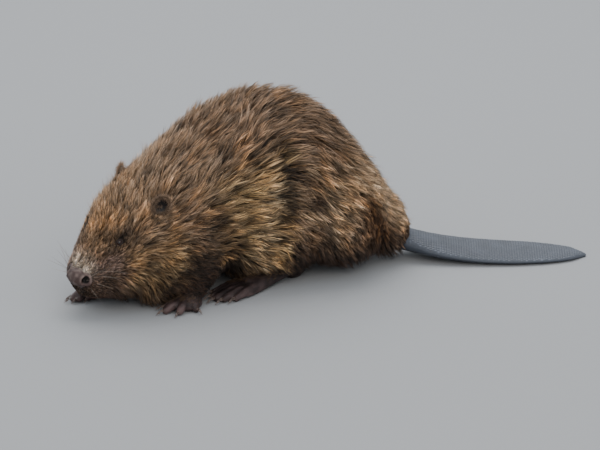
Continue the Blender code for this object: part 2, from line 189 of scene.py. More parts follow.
def melt(name, sources, voxel, smoothing=0):
    """One closed skin round the source meshes, each given as (mesh, how far it is pushed out)."""
    bm = bmesh.new()
    for mesh, push in sources:
        part = bmesh.new()
        part.from_mesh(mesh)
        bmesh.ops.remove_doubles(part, verts=part.verts, dist=1e-6)
        part.normal_update()
        for vertex in part.verts:
            vertex.co += vertex.normal * push
        pushed = bpy.data.meshes.new("pushed")
        part.to_mesh(pushed)
        part.free()
        bm.from_mesh(pushed)
        bpy.data.meshes.remove(pushed)
    mesh = bpy.data.meshes.new(name)
    bm.to_mesh(mesh)
    bm.free()
    obj = placed(name, mesh)
    remesh = obj.modifiers.new("melt", "REMESH")
    remesh.mode = "VOXEL"
    remesh.voxel_size = voxel
    if smoothing:
        relax = obj.modifiers.new("relax", "SMOOTH")
        relax.factor = 0.5
        relax.iterations = smoothing
    result = applied(obj)
    bpy.data.objects.remove(obj)
    return result


def applied(obj):
    """The mesh of obj with its modifiers applied."""
    graph = bpy.context.evaluated_depsgraph_get()
    graph.update()
    return bpy.data.meshes.new_from_object(obj.evaluated_get(graph))


def largest_part(points, triangles):
    """The vertices and triangles of the biggest connected part."""
    label = np.arange(len(points))
    while True:
        lowest = label.copy()
        corner = label[triangles].min(axis=1)
        for k in range(3):
            np.minimum.at(lowest, triangles[:, k], corner)
        lowest = lowest[lowest]
        if (lowest == label).all():
            break
        label = lowest
    keep = label == np.bincount(label).argmax()
    number = np.cumsum(keep) - 1
    return points[keep], number[triangles[keep[triangles[:, 0]]]]


class Surface:
    """A triangle mesh as arrays, with what is computed on it."""

    def __init__(self, points, triangles):
        self.points, self.triangles = points, triangles
        self.edges = np.unique(np.sort(triangles[:, [0, 1, 1, 2, 2, 0]].reshape(-1, 2), axis=1), axis=0)
        self.degree = np.bincount(self.edges.ravel(), minlength=len(points))
        self.update()

    def update(self):
        a, b, c = (self.points[self.triangles[:, k]] for k in range(3))
        facing = np.cross(b - a, c - a)
        self.areas = np.linalg.norm(facing, axis=1) / 2
        total = np.zeros_like(self.points)
        for k in range(3):
            for i in range(3):
                total[:, i] += np.bincount(self.triangles[:, k], facing[:, i], len(self.points))
        self.normals = unit(total)

    def smoothed(self, values, rounds):
        """Values of the vertices, each averaged with its neighbours so many times."""
        columns = np.array(values, float).reshape(len(self.points), -1)
        first, second = self.edges.T
        for _ in range(rounds):
            total = np.empty_like(columns)
            for i in range(columns.shape[1]):
                total[:, i] = np.bincount(first, columns[second, i], len(columns))
                total[:, i] += np.bincount(second, columns[first, i], len(columns))
            columns = (columns + total / np.maximum(self.degree, 1)[:, None]) / 2
        return columns.reshape(np.shape(values))


def search_tree(points, triangles):
    return BVHTree.FromPolygons([Vector(p) for p in points], triangles.tolist(), all_triangles=True)


def tree_of(meshes):
    """A search tree of the meshes' triangles, and for each triangle the number of its mesh."""
    points, triangles, owner, start = [], [], [], 0
    for i, mesh in enumerate(meshes):
        co, tri = read(mesh.vertices, "co", 3), triangles_of(mesh)
        points.append(co)
        triangles.append(tri + start)
        owner.append(np.full(len(tri), i))
        start += len(co)
    return search_tree(np.concatenate(points), np.concatenate(triangles)), np.concatenate(owner)


def nearest(tree, points):
    """The place on the tree's surface nearest to each point, its normal, its triangle and the distance."""
    found = zip(*(tree.find_nearest(Vector(point)) for point in points))
    return tuple(np.array(column) for column in found)


def distance_to_any(points, places):
    return np.min([norm(points - place) for place in places], axis=0)


def distance_to_line(points, line):
    """Each point's distance from the polyline, how far along it the nearest place is, and its direction."""
    line = np.asarray(line, float)
    best = np.full(len(points), np.inf)
    along, heading, run = np.zeros(len(points)), np.zeros((len(points), 3)), 0.0
    for a, b in zip(line, line[1:]):
        span = np.linalg.norm(b - a)
        ahead = (b - a) / span
        t = np.clip((points - a) @ ahead, 0, span)
        distance = norm(points - a - t[:, None] * ahead)
        closer = distance < best
        best = np.where(closer, distance, best)
        along = np.where(closer, run + t, along)
        heading = np.where(closer[:, None], ahead, heading)
        run += span
    return best, along, heading


# ---------------------------------------------------------------- landmarks

NOSE = middle("nose")
EYE = {side: middle("eye_" + side) for side in SIDES}
EAR = {side: middle("ear_" + side) for side in SIDES}
OUT = {"left": 1, "right": -1}
HEAD_YAW, HEAD_PITCH = (math.radians(angle) for angle in (12, -35))
HEAD_AHEAD = np.array([
    math.cos(HEAD_YAW) * math.cos(HEAD_PITCH), math.sin(HEAD_YAW) * math.cos(HEAD_PITCH),
    math.sin(HEAD_PITCH),
])
HEAD_LEFT = unit(EYE["left"] - EYE["right"])
HEAD_LEFT = unit(HEAD_LEFT - HEAD_AHEAD * (HEAD_LEFT @ HEAD_AHEAD))
HEAD_UP = np.cross(HEAD_AHEAD, HEAD_LEFT)

# The middle of the body from the tail's root to the nose, which the coat follows backwards.
SPINE = np.array(
    [
        (-0.124, 0.020, 0.040), (-0.092, 0.004, 0.064), (-0.050, -0.013, 0.086), (0.008, -0.028, 0.100),
        (0.067, -0.031, 0.104), (0.117, -0.024, 0.104), (0.154, -0.011, 0.102), (0.186, 0.005, 0.100),
        (0.214, 0.017, 0.096), (0.242, 0.025, 0.087), (0.266, 0.030, 0.074), (0.290, 0.035, 0.061),
        (0.311, 0.039, 0.052), (0.332, 0.043, 0.043),
    ]
)
SPINE_RUN = np.concatenate([[0], np.cumsum(np.linalg.norm(np.diff(SPINE, axis=0), axis=1))])
# Which way each foot points, in degrees from +X.
PAW_HEADINGS = {"forepaw_left": 30, "forepaw_right": 12, "hind_foot_left": 20, "hind_foot_right": -16}

# ---------------------------------------------------------------- ears

EAR_WIDTH, EAR_HEIGHT = 22 * MM, 26 * MM
# How far the middle of an ear lies below the middle of what stands out of the coat, and how far ahead and up
# of it.
EAR_SUNK = {"left": 2.5 * MM, "right": 9.0 * MM}
EAR_AHEAD, EAR_UP = {"left": 5.5 * MM, "right": -3.0 * MM}, {"left": 3.5 * MM, "right": -3.0 * MM}
# An ear from the middle of its hollow over its rim to the middle of its back: the share of its radius and how
# far ahead, in mm.
EAR_PROFILE = (
    (0, -5.2), (0.2, -5.0), (0.4, -4.2), (0.58, -2.8), (0.74, -0.8), (0.86, 1.0), (0.94, 1.5), (1.0, 0.7),
    (1.0, -0.7), (0.95, -2.0), (0.82, -3.9), (0.62, -5.8), (0.35, -7.0), (0, -7.3),
)


def ear_axes(side):
    """The middle of an ear, the way its hollow faces, the way across it and its height."""
    height = unit(0.20 * OUT[side] * HEAD_LEFT + 0.62 * HEAD_UP - 0.72 * HEAD_AHEAD)
    faces = 0.62 * HEAD_AHEAD + 0.78 * OUT[side] * HEAD_LEFT
    faces = unit(faces - height * (faces @ height))
    centre = EAR[side] - height * EAR_SUNK[side] + HEAD_AHEAD * EAR_AHEAD[side] + HEAD_UP * EAR_UP[side]
    return centre, faces, np.cross(height, faces), height


def ear_places(side, radius, turn, ahead):
    """Points of an ear from their share of its radius, their turn round it and how far ahead they lie."""
    centre, faces, across, height = ear_axes(side)
    low = 1 - 0.10 * np.sin(turn)  # a little narrower above
    y = radius * np.cos(turn) * low * EAR_WIDTH / 2
    z = radius * np.sin(turn) * EAR_HEIGHT / 2
    return centre + y[:, None] * across + z[:, None] * height + np.asarray(ahead)[:, None] * faces


def ear_mesh(side, around=36):
    turns = np.arange(around) * 2 * math.pi / around
    points, triangles = [ear_places(side, np.zeros(1), np.zeros(1), [EAR_PROFILE[0][1] * MM])], []
    for radius, ahead in EAR_PROFILE[1:-1]:
        points.append(ear_places(side, np.full(around, radius), turns, np.full(around, ahead * MM)))
    points.append(ear_places(side, np.zeros(1), np.zeros(1), [EAR_PROFILE[-1][1] * MM]))
    rings = len(EAR_PROFILE) - 2
    last = 1 + rings * around
    for k in range(around):
        nxt = (k + 1) % around
        triangles += [(0, 1 + k, 1 + nxt), (last, last - around + nxt, last - around + k)]
        for ring in range(rings - 1):
            a, b = 1 + ring * around + k, 1 + ring * around + nxt
            triangles += [(a, a + around, b), (b, a + around, b + around)]
    return mesh_piece("ear_form_" + side, np.concatenate(points), np.array(triangles))


# ---------------------------------------------------------------- the skin

HULL_VOXEL, SKIN_VOXEL = 2.5 * MM, 1.3 * MM
FLESH_PUSH, BARE_PUSH = 0.9 * MM, 0.6 * MM  # makes up for what melting rubs off
SKIN_TRIANGLES = 135000
# How deep the coat is at places along the spine, from the tail's root to the nose, in millimetres.
COAT_DEPTHS = (8, 12, 15, 17, 17, 16, 15, 14, 12, 9, 6, 4, 2.5, 1.5)
# The fold between flank and thigh, and the one between thigh and tail root, on the animal's left.
FLANK_FOLD = [(0.047, 0.058, 0.175), (0.050, 0.068, 0.160), (0.053, 0.076, 0.140), (0.056, 0.080, 0.117),
              (0.060, 0.081, 0.092), (0.067, 0.082, 0.064)]
TAIL_FOLD = [(-0.052, 0.088, 0.094), (-0.060, 0.090, 0.074), (-0.078, 0.068, 0.045)]
# Lines of other markings, and the fold behind the cheek, on its left too.
BLOND_BAND = [(0.063, 0.075, 0.136), (0.072, 0.080, 0.100), (0.084, 0.080, 0.069), (0.092, 0.069, 0.038)]
HAUNCH_DARK = [(0.030, 0.072, 0.142), (0.020, 0.081, 0.106), (0.017, 0.085, 0.067)]
SHOULDER_DARK = [(0.154, 0.072, 0.114), (0.142, 0.073, 0.094), (0.132, 0.077, 0.076)]
BACK_DARK = [(0.168, 0.024, 0.182), (0.141, 0.010, 0.196)]
BROW_DARK = [(0.316, 0.035, 0.088), (0.300, 0.060, 0.094), (0.277, 0.074, 0.107)]
CHEEK_PALE = [(0.262, 0.083, 0.103), (0.240, 0.086, 0.101)]
FOREHEAD_GOLD = [(0.300, 0.050, 0.108), (0.289, 0.051, 0.123)]
CHEEK_FOLD = [(0.160, 0.078, 0.058), (0.178, 0.080, 0.053), (0.197, 0.080, 0.044), (0.225, 0.074, 0.018)]

NODE_MESHES = {name: obj.data for name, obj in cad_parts.items()}
ear_forms = {side: ear_mesh(side) for side in SIDES}
BARE_MESHES = {name: NODE_MESHES[name] for name in PAWS + ["nose", "tail"]}
BARE_MESHES.update({"ear_" + side: ear_forms[side].data for side in SIDES})
BARE_NAMES = list(BARE_MESHES)
flesh_tree, flesh_owner = tree_of([NODE_MESHES[name] for name in FURRED])
bare_tree, bare_owner = tree_of(list(BARE_MESHES.values()))


def share_of(owners, names, chosen):
    """1 where the owner is one of the chosen names, else 0."""
    return np.isin(owners, [names.index(name) for name in names if name.startswith(chosen)]).astype(float)


def bareness(points):
    """How bare places on the skin are, from 0 to 1, and the number of the bare part nearest to each."""
    _, _, faces, distance = nearest(bare_tree, points)
    return step(2.2 * MM, 1.0 * MM, distance), bare_owner[faces]


def across(line):
    """The same line on the animal's other side, mirrored in the spine's middle."""
    low = np.array(line)
    run = np.interp(low[:, 0], SPINE[:, 0], SPINE[:, 1])
    return np.column_stack([low[:, 0], 2 * run - low[:, 1], low[:, 2]])


def near_line(points, line, width):
    """1 on the line and on its mirror image, falling to 0 at about twice the width."""
    both = [distance_to_line(points, part)[0] for part in (line, across(line))]
    return bell(np.minimum(*both), width)


hull_sources = [(NODE_MESHES[name], FLESH_PUSH) for name in FURRED + ["eye_left", "eye_right"]]
hull = Surface(*largest_part(*arrays_of(melt("hull", hull_sources, HULL_VOXEL, 3))))
hull_tree = search_tree(hull.points, hull.triangles)

owners = flesh_owner[nearest(flesh_tree, hull.points)[2]]
forelegs, hindlegs = share_of(owners, FURRED, "foreleg"), share_of(owners, FURRED, "hindleg")
_, _, bare_faces, from_bare = nearest(bare_tree, hull.points)
by_ear = share_of(bare_owner[bare_faces], BARE_NAMES, "ear")
from_bare = from_bare * (1 + 1.2 * by_ear)
from_eyes = distance_to_any(hull.points, EYE.values())
depth = np.interp(distance_to_line(hull.points, SPINE)[1], SPINE_RUN, COAT_DEPTHS) * MM
low_leg = step(0.080, 0.045, hull.points[:, 2])
depth += (6 * MM - depth) * np.maximum(forelegs, hindlegs) * low_leg
depth *= 1 - 0.35 * step(0.0, -0.8, hull.normals[:, 2])
depth = np.minimum(depth, 2.2 * MM + 0.25 * np.maximum(from_eyes - 8 * MM, 0))
depth *= step(1 * MM, 22 * MM, from_bare)
depth = hull.smoothed(depth, 30) * step(0.5 * MM, 6 * MM, from_bare)
depth += 4 * MM * near_line(hull.points, FLANK_FOLD, 9 * MM) * step(2 * MM, 9 * MM, depth)
inner = mesh_piece("inner", hull.points - hull.smoothed(hull.normals, 12) * depth[:, None], hull.triangles)
skin_sources = [(inner.data, 0.0)]
skin_sources += [(mesh, 0.0 if name.startswith("ear") else BARE_PUSH) for name, mesh in BARE_MESHES.items()]
fine = mesh_piece("fine", *largest_part(*arrays_of(melt("skin", skin_sources, SKIN_VOXEL, 2))))
fewer = fine.modifiers.new("fewer", "DECIMATE")
fewer.ratio = min(1.0, SKIN_TRIANGLES / len(fine.data.polygons))
coarse = Surface(*arrays_of(applied(fine)))
for helper in (inner, fine, *ear_forms.values()):
    bpy.data.objects.remove(helper)

# The tail's and the body's facets are rubbed down; digits, ears and nose keep their shape.
bare, bare_owners = bareness(coarse.points)
tail = bare * share_of(bare_owners, BARE_NAMES, "tail")
rounded = coarse.smoothed(coarse.points, 14)
coarse.points = mix(coarse.points, rounded, np.clip(tail * 0.9 + (1 - bare), 0, 1))


def refined(points, triangles, centres, radius, cuts):
    """The same surface with more vertices near the centres."""
    helper = mesh_piece("helper", points, triangles)
    bm = bmesh.new()
    bm.from_mesh(helper.data)
    near = distance_to_any(points, centres) < radius
    edges = [edge for edge in bm.edges if near[edge.verts[0].index] and near[edge.verts[1].index]]
    bmesh.ops.subdivide_edges(bm, edges=edges, cuts=cuts, use_grid_fill=True)
    bmesh.ops.triangulate(bm, faces=bm.faces)
    bm.to_mesh(helper.data)
    bm.free()
    result = arrays_of(helper.data)
    bpy.data.objects.remove(helper)
    return result


eyes = list(EYE.values())
places, triangles = refined(coarse.points, coarse.triangles, [NOSE - HEAD_UP * 6 * MM], 30 * MM, 2)
places, triangles = refined(places, triangles, eyes, 13 * MM, 3)
places, triangles = refined(places, triangles, eyes, 7.5 * MM, 1)
skin = Surface(places, triangles)
around_nose = step(34 * MM, 26 * MM, norm(skin.points - NOSE))
skin.points = mix(skin.points, skin.smoothed(skin.points, 3), around_nose)

# ---------------------------------------------------------------- lids, nostrils and mouth

EYE_RADIUS = 5.1 * MM
EYE_OPENING = (0.76, 0.45)  # half width and half height of the opening, as shares of the eyeball's radius
NOSTRIL = np.array([-2.2, 16.6, 2.2]) * MM  # from the middle of the nose: ahead, to its side, up
NOSTRIL_RADII = (5.2 * MM, 4.2 * MM)
MOUTH = np.array([(-1, 0, -13.5), (-5, 6, -15.5), (-12, 12, -17), (-22, 17.5, -18), (-32, 22, -18)]) * MM
CLEFT = np.array([(5, 0, -7), (3, 0, -10), (-1, 0, -13.5)]) * MM
LID_GAP = 0.4 * MM  # between the eyeball and the skin that covers it
FAR_OFF = 9.0  # stands for any place well away from an opening


def eye_axes(side):
    """The way an eye looks, the way along its opening towards the ear, and the way across it."""
    looks = unit(0.35 * HEAD_AHEAD + 0.71 * OUT[side] * HEAD_LEFT + 0.61 * HEAD_UP)
    along = EAR[side] - EYE[side]
    along = unit(along - looks * (along @ looks))
    return looks, along, np.cross(looks, along)


def opening(points, side):
    """How far points near an eye are from the middle of its opening, 1 at the edge of the lids."""
    looks, along, high = eye_axes(side)
    way = unit(points - EYE[side])
    wide = np.hypot(way @ along / EYE_OPENING[0], way @ high / EYE_OPENING[1])
    ahead = way @ looks
    return np.where((ahead > 0) & (norm(points - EYE[side]) < 14 * MM), wide, FAR_OFF)


def head_point(ahead, left, up):
    return NOSE + ahead * HEAD_AHEAD + left * HEAD_LEFT + up * HEAD_UP


def nostril_axes(side):
    """The middle of a nostril, the way it opens, and the ways along and across it."""
    centre = head_point(NOSTRIL[0], OUT[side] * NOSTRIL[1], NOSTRIL[2])
    opens = unit(0.50 * HEAD_AHEAD + 0.82 * OUT[side] * HEAD_LEFT + 0.20 * HEAD_UP)
    along = -0.80 * HEAD_AHEAD + 0.35 * HEAD_UP + 0.30 * OUT[side] * HEAD_LEFT
    along = unit(along - opens * (along @ opens))
    return centre, opens, along, np.cross(opens, along)


def nostril_share(points, side):
    """How far points are from the middle of a nostril, 1 at its edge."""
    centre, opens, along, high = nostril_axes(side)
    way = points - centre
    wide = np.hypot(way @ along / NOSTRIL_RADII[0], way @ high / NOSTRIL_RADII[1])
    return np.where(norm(way) < 11 * MM, wide, FAR_OFF)


for side in SIDES:
    way = skin.points - EYE[side]
    distance = norm(way)
    wide = opening(skin.points, side)
    lid = EYE_RADIUS + 0.35 * MM + 0.85 * MM * bell(wide - 1.2, 0.28)
    lid += (EYE_RADIUS - 1.4 * MM - lid) * step(1.05, 0.90, wide)
    share = step(2.2, 1.4, wide) * (wide < FAR_OFF)
    covered = np.where((wide < 2.4) & (distance < EYE_RADIUS + LID_GAP), EYE_RADIUS + LID_GAP, distance)
    covered = covered + (lid - covered) * share
    skin.points = EYE[side] + way * (covered / np.maximum(distance, 1e-9))[:, None]

    _, opens, _, _ = nostril_axes(side)
    wide = nostril_share(skin.points, side)
    pit = -4.5 * MM * step(1.12, 0.45, wide) + 0.9 * MM * bell(wide - 1.45, 0.35)
    skin.points = skin.points + opens * pit[:, None]

skin.update()
skin_tree = search_tree(skin.points, skin.triangles)


def draped(line, steps=24):
    """A smooth run of points along the line, laid on the skin."""
    line = np.asarray(line)
    keys = np.linspace(0, len(line) - 1, steps)
    run = np.stack([np.interp(keys, range(len(line)), line[:, i]) for i in range(3)], axis=1)
    return nearest(skin_tree, run)[0]


from_mouth = np.full(len(skin.points), 1.0)
for side in SIDES:
    lip = draped([head_point(ahead, OUT[side] * left, up) for ahead, left, up in MOUTH])
    from_mouth = np.minimum(from_mouth, distance_to_line(skin.points, lip)[0])
cleft = draped([head_point(*place) for place in CLEFT], 8)
from_mouth = np.minimum(from_mouth, distance_to_line(skin.points, cleft)[0])
mouth = bell(from_mouth, 1.3 * MM)
skin.points = skin.points - skin.normals * (1.5 * MM * mouth)[:, None]
skin.points[:, 2] = np.maximum(skin.points[:, 2], 0)
skin.update()

# ---------------------------------------------------------------- what each place on the skin is, from 0 to 1

bare, bare_owners = bareness(skin.points)
tail = bare * share_of(bare_owners, BARE_NAMES, "tail")
nose = bare * share_of(bare_owners, BARE_NAMES, "nose")
from_nostrils = np.min([nostril_share(skin.points, side) for side in SIDES], axis=0)
nostrils = step(1.15, 0.85, from_nostrils)
nose = np.maximum(nose, step(1.9, 1.55, from_nostrils))
ears = bare * share_of(bare_owners, BARE_NAMES, "ear")
hind = share_of(bare_owners, BARE_NAMES, "hind_foot")
paws = bare * np.maximum(share_of(bare_owners, BARE_NAMES, "forepaw"), hind)

owners = flesh_owner[nearest(flesh_tree, skin.points)[2]]
forelegs = skin.smoothed(share_of(owners, FURRED, "foreleg"), 25) * step(0.070, 0.045, skin.points[:, 2])
hindlegs = skin.smoothed(share_of(owners, FURRED, "hindleg"), 25) * step(0.070, 0.040, skin.points[:, 2])
_, along, heading = distance_to_line(skin.points, SPINE)
hull_places, _, _, coat = nearest(hull_tree, skin.points)
coat = skin.smoothed(coat, 6)
from_eyes = distance_to_any(skin.points, EYE.values())
from_ears = distance_to_any(skin.points, EAR.values())
from_nose, above_nose = norm(skin.points - NOSE), (skin.points - NOSE) @ HEAD_UP
lids = np.min([opening(skin.points, side) for side in SIDES], axis=0)


def tilted(points, along):
    """How high round the body points lie: 1 on the back, 0 halfway and -1 on the belly."""
    centre = np.stack([np.interp(along, SPINE_RUN, SPINE[:, i]) for i in range(3)], axis=1)
    return unit(points - centre)[:, 2]


# ---------------------------------------------------------------- the lie of the coat

# How far the coat leans down, at places along the spine: low on the side, halfway up and high.
LEAN = {
    "low": (1.0, 1.6, 2.0, 2.0, 0.6, 0.45, 0.4, 0.5, 0.9, 1.3, 1.4, 1.1, 0.6, 0.3),
    "middle": (0.8, 1.2, 1.4, 1.3, 0.20, 0.0, -0.1, 0.0, 0.15, 0.3, 0.5, 0.4, 0.2, 0.2),
    "high": (0.5, 0.6, 0.7, 0.5, 0.0, -0.35, -0.7, -0.8, -0.8, -0.9, -0.9, -0.3, 0.0, 0.0),
}
height_round = tilted(skin.points, along)
low, halfway, high = (np.interp(along, SPINE_RUN, LEAN[part]) for part in ("low", "middle", "high"))
lean = halfway + (high - halfway) * step(0.1, 0.75, height_round)
lean = lean + (low - halfway) * step(0.0, -0.7, height_round)
lean = lean + (1.6 - lean) * forelegs + (1.3 - lean) * hindlegs * (1 - forelegs)
backward = skin.smoothed(-heading, 20)
flow = backward + lean[:, None] * np.array([0, 0, -1.0])
for size, strength, seed in ((0.045, 0.20, 11), (0.014, 0.16, 15)):
    flow += strength * np.stack([noise(skin.points, size, seed + i) for i in range(3)], axis=1)
flow = flow - skin.normals * dot(flow, skin.normals)
flow = skin.smoothed(unit(flow), 4)

# How far the hairs reach: with the coat's depth, less round the eyes and ears and on the muzzle, more at the
# belly.
reach = 2.6 * MM + 1.5 * coat
reach *= 0.30 + 0.70 * step(5 * MM, 17 * MM, from_eyes)
reach *= 0.60 + 0.40 * step(15 * MM, 24 * MM, from_ears)
reach += 7 * MM * step(-0.3, -0.8, height_round) * step(0.05, 0.12, along) * step(0.47, 0.43, along)
# Where the coat hangs free: along the low edge of the sides and under the cheeks.
hang = step(0.1, -0.5, skin.normals[:, 2]) * step(0.075, 0.040, skin.points[:, 2]) * (1 - 0.8 * forelegs)
hang *= step(0.492, 0.468, along) * (1 - step(4 * MM, 1 * MM, coat))
jowl = np.maximum(step(0.34, 0.39, along), 0.8 * step(0.11, 0.06, along))
reach += (5 + 5 * jowl) * MM * hang
jaw = 0.7 * step(46 * MM, 60 * MM, from_nose) * step(-10 * MM, -22 * MM, above_nose)
muzzle = step(74 * MM, 52 * MM, from_nose) * step(20 * MM, 8 * MM, above_nose) * (1 - jaw)
reach *= 1 - 0.35 * muzzle
reach = skin.smoothed(reach, 4)

ear_pits = np.zeros(len(skin.points))
for side in SIDES:
    centre, faces, across_ear, ear_up = ear_axes(side)
    way = skin.points - centre
    radius = np.hypot(way @ across_ear / (EAR_WIDTH / 2), way @ ear_up / (EAR_HEIGHT / 2))
    ahead = way @ faces
    pit = step(0.95, 0.72, radius) * step(-10 * MM, -8 * MM, ahead) * step(1 * MM, -1 * MM, ahead)
    ear_pits = np.maximum(ear_pits, pit)
furred = (1 - ear_pits) * np.clip(1 - np.maximum(bare, nose) * 1.3, 0, 1)
furred = furred * step(1.25, 1.6, lids) * (1 - 0.8 * mouth)

# ---------------------------------------------------------------- markings, painted shade and painted light

GREY_BROWN, TAN, BROWN = srgb(120, 95, 75), srgb(156, 125, 92), srgb(140, 110, 78)
GOLD, HONEY, OCHRE, RUST = srgb(192, 158, 110), srgb(172, 143, 102), srgb(186, 128, 64), srgb(172, 114, 62)
DARK, SHADE, VELVET = srgb(62, 44, 34), srgb(44, 33, 28), srgb(108, 89, 82)
STRAW, CREAM, PALE = srgb(204, 174, 136), srgb(200, 183, 164), srgb(178, 148, 120)
# The paler mauve is the nose's painted highlight; PIT is near black for painted shade in folds, nostrils and
# mouth.
MAUVE, MAUVE_HIGHLIGHT, PIT = srgb(70, 53, 49), srgb(140, 121, 112), srgb(18, 12, 10)
PAW_SKIN, PAW_PALE, EAR_SKIN = srgb(60, 44, 42), srgb(146, 118, 114), srgb(22, 17, 17)
SLATE = srgb(66, 70, 78)

BRIGHTEST = 0.74  # of any of a mark's three shares
SHOWS, ENDS = 0.55, 0.95  # where a hair shows and where it ends, as shares of its reach
# The marked lines: half width in mm, colour, share, how streaky it is, and how far it keeps pale tips away.
MARKED_LINES = (
    (BLOND_BAND, 17, STRAW, 0.88, 0, 0),
    (HAUNCH_DARK, 13, DARK, 0.85, 0.25, 0.85),
    (SHOULDER_DARK, 17, DARK, 0.62, 0.25, 0.85),
    (BACK_DARK, 18, DARK, 0.45, 0.25, 0.85),
    (BROW_DARK, 8, SHADE, 0.60, 0, 0.85),
    (CHEEK_PALE, 11, PALE, 0.60, 0, 0),
    (FOREHEAD_GOLD, 14, OCHRE, 0.40, 0, 0),
)


def capped(colours, most):
    """The colours with their hue kept, darkened where one of their shares is above most."""
    return colours * np.minimum(1, most / colours.max(axis=1))[:, None]


# Markings and painted shade are read where a root's hairs show: out on the coat, a little further back.
seen = hull_places + flow * (SHOWS * reach)[:, None]
_, seen_along, _ = distance_to_line(seen, SPINE)
u = seen_along / SPINE_RUN[-1]  # 0 at the tail's root and 1 at the nose
up = tilted(seen, seen_along)
# Where the skin faces down, which is darkened with painted shade.
underside_shade = step(-0.35, -0.9, skin.normals[:, 2])
patches, blotches = noise(seen, 0.05, 3), noise(seen, 0.018, 4)
streaks = noise(seen * (0.45, 1, 1), 0.0075, 7)

# Painted shade in the folds: the flank fold, the cheek fold and the lower tail fold are painted near black.
flank_fold_shade = near_line(seen, FLANK_FOLD, 10 * MM)
tail_fold = near_line(seen, TAIL_FOLD, 15 * MM)
tail_fold_shade = near_line(seen, TAIL_FOLD[1:], 13 * MM)
cheek_fold_shade = near_line(seen, CHEEK_FOLD, 8 * MM)
fold_top = bell(norm(seen - np.array(FLANK_FOLD[0]) - (0.004, 0, -0.004)), 13 * MM)
flank = step(0.37, 0.40, u) * step(0.74, 0.58, u) * step(0.80, 0.25, up)
cheek = step(0.72, 0.80, u) * step(0.45, 0.10, up)
rump = step(0.24, 0.10, u) * step(-0.1, 0.6, up)
sides = step(0.10, 0.18, u) * step(0.62, 0.54, u) * step(0.75, 0.35, up) * step(-0.75, -0.35, up)
bridge = step(36 * MM, 17 * MM, from_nose) * step(2 * MM, 9 * MM, above_nose)

marks_light_and_shade = blended(
    np.tile(GREY_BROWN, (len(skin.points), 1)),
    (TAN, step(0.52, 0.68, u) * step(0.3, 0.8, up) * 0.35),
    (GOLD, flank * 0.85),
    (STRAW, step(0.37, 0.33, u) * step(0.8, 0.2, up) * step(-0.5, -0.1, up) * step(0.10, 0.18, u) * 0.5),
    (STRAW, rump * 0.65),
    (TAN, step(0.70, 0.80, u) * 0.3),
    (BROWN, cheek * 0.75),
    (HONEY, cheek * step(0.0, -0.40, up) * 0.65),
    (OCHRE, np.clip(blotches - 0.3, 0, 1) * 0.22),
    # painted shade: darker on the belly, where the skin faces down and low on the hindquarters
    (DARK, step(-0.55, -0.9, up) * step(0.95, 0.8, u) * 0.8),
    (DARK, underside_shade * 0.6),
    (DARK, step(0.36, 0.30, u) * step(-0.05, -0.5, up) * 0.45),
    # painted shade over the legs' own darker fur: the forelegs under the cheeks and the low hind legs
    (SHADE * 0.6, forelegs * 0.95),
    (SHADE, hindlegs * 0.7),
    (RUST, tail_fold * 0.75),
    # painted shade in the lower tail fold
    (PIT, tail_fold_shade * 0.92),
)
plain_tips = np.ones(len(skin.points))
for line, width, colour, most, streaky, plain in MARKED_LINES:
    share = near_line(seen, line, width * MM) * np.clip(most + streaky * streaks, 0, 0.95)
    marks_light_and_shade = mix(marks_light_and_shade, colour, share)
    plain_tips = plain_tips * (1 - plain * share)
marks_light_and_shade = blended(
    # painted shade in the flank and cheek folds; the rest are the coat's own colours
    marks_light_and_shade, (PIT, flank_fold_shade * 0.95), (PIT, cheek_fold_shade * 0.85), (GOLD * 0.85, fold_top * 0.5),
    (VELVET, muzzle * 0.85), (CREAM, bridge * 0.9),
)
for side in SIDES:  # the dark streak through each eye
    looks, to_ear, _ = eye_axes(side)
    streak = [EYE[side] + looks * 4 * MM - to_ear * 17 * MM + HEAD_UP * 5 * MM, EYE[side] + looks * 5 * MM,
              EYE[side] + looks * 4 * MM + to_ear * 22 * MM + HEAD_UP * 4 * MM]
    marks_light_and_shade = mix(marks_light_and_shade, SHADE, bell(distance_to_line(seen, streak)[0], 7 * MM) * 0.75)
marks_light_and_shade = mix(marks_light_and_shade, DARK, np.clip(streaks - 0.5, 0, 1) * 0.55)
marks_light_and_shade = marks_light_and_shade * np.exp(0.10 * patches + 0.14 * blotches - 0.26 * np.clip(streaks, -1.5, 1.5))[:, None]
# Painted shade: darker close to the floor, less so on the muzzle, and low under the jaw.
marks_light_and_shade = mix(marks_light_and_shade, DARK, step(0.046, 0.014, seen[:, 2]) * (0.85 - 0.5 * muzzle))
marks_light_and_shade = mix(marks_light_and_shade, DARK, step(0.066, 0.036, seen[:, 2]) * step(0.70, 0.76, u) * 0.6)
# Partly painted light and shade, set for how the lamps fall: brighter on the sides, low on the flank
# and on the rump, duller from the shoulders to the forehead but not on the cheeks.
light = (1.10 + 0.28 * sides + 0.22 * flank * step(0.9, 0.4, up) + 0.25 * rump
         - 0.12 * step(0.50, 0.56, u) * step(0.95, 0.90, u) * (1 - cheek))
marks_light_and_shade = capped(marks_light_and_shade * light[:, None], BRIGHTEST)

# The tips of the coat are paler than the rest, most of all along the back, on the nape and on the rump.
# Paler on the upper side is painted light; painted shade keeps tips dark on the legs, in folds and
# underneath.
pale_tips = 0.35 + 0.4 * step(0.3, 0.9, up) + 0.3 * rump + 0.2 * flank
pale_tips *= (plain_tips * (1 - 0.6 * muzzle) * (1 - 0.95 * forelegs) * (1 - 0.7 * hindlegs)
              * (1 - 0.8 * flank_fold_shade) * (1 - 0.8 * tail_fold_shade) * (1 - 0.9 * cheek_fold_shade))
pale_tips *= 1 - 0.6 * underside_shade
ends = hull_places + flow * (ENDS * reach)[:, None]
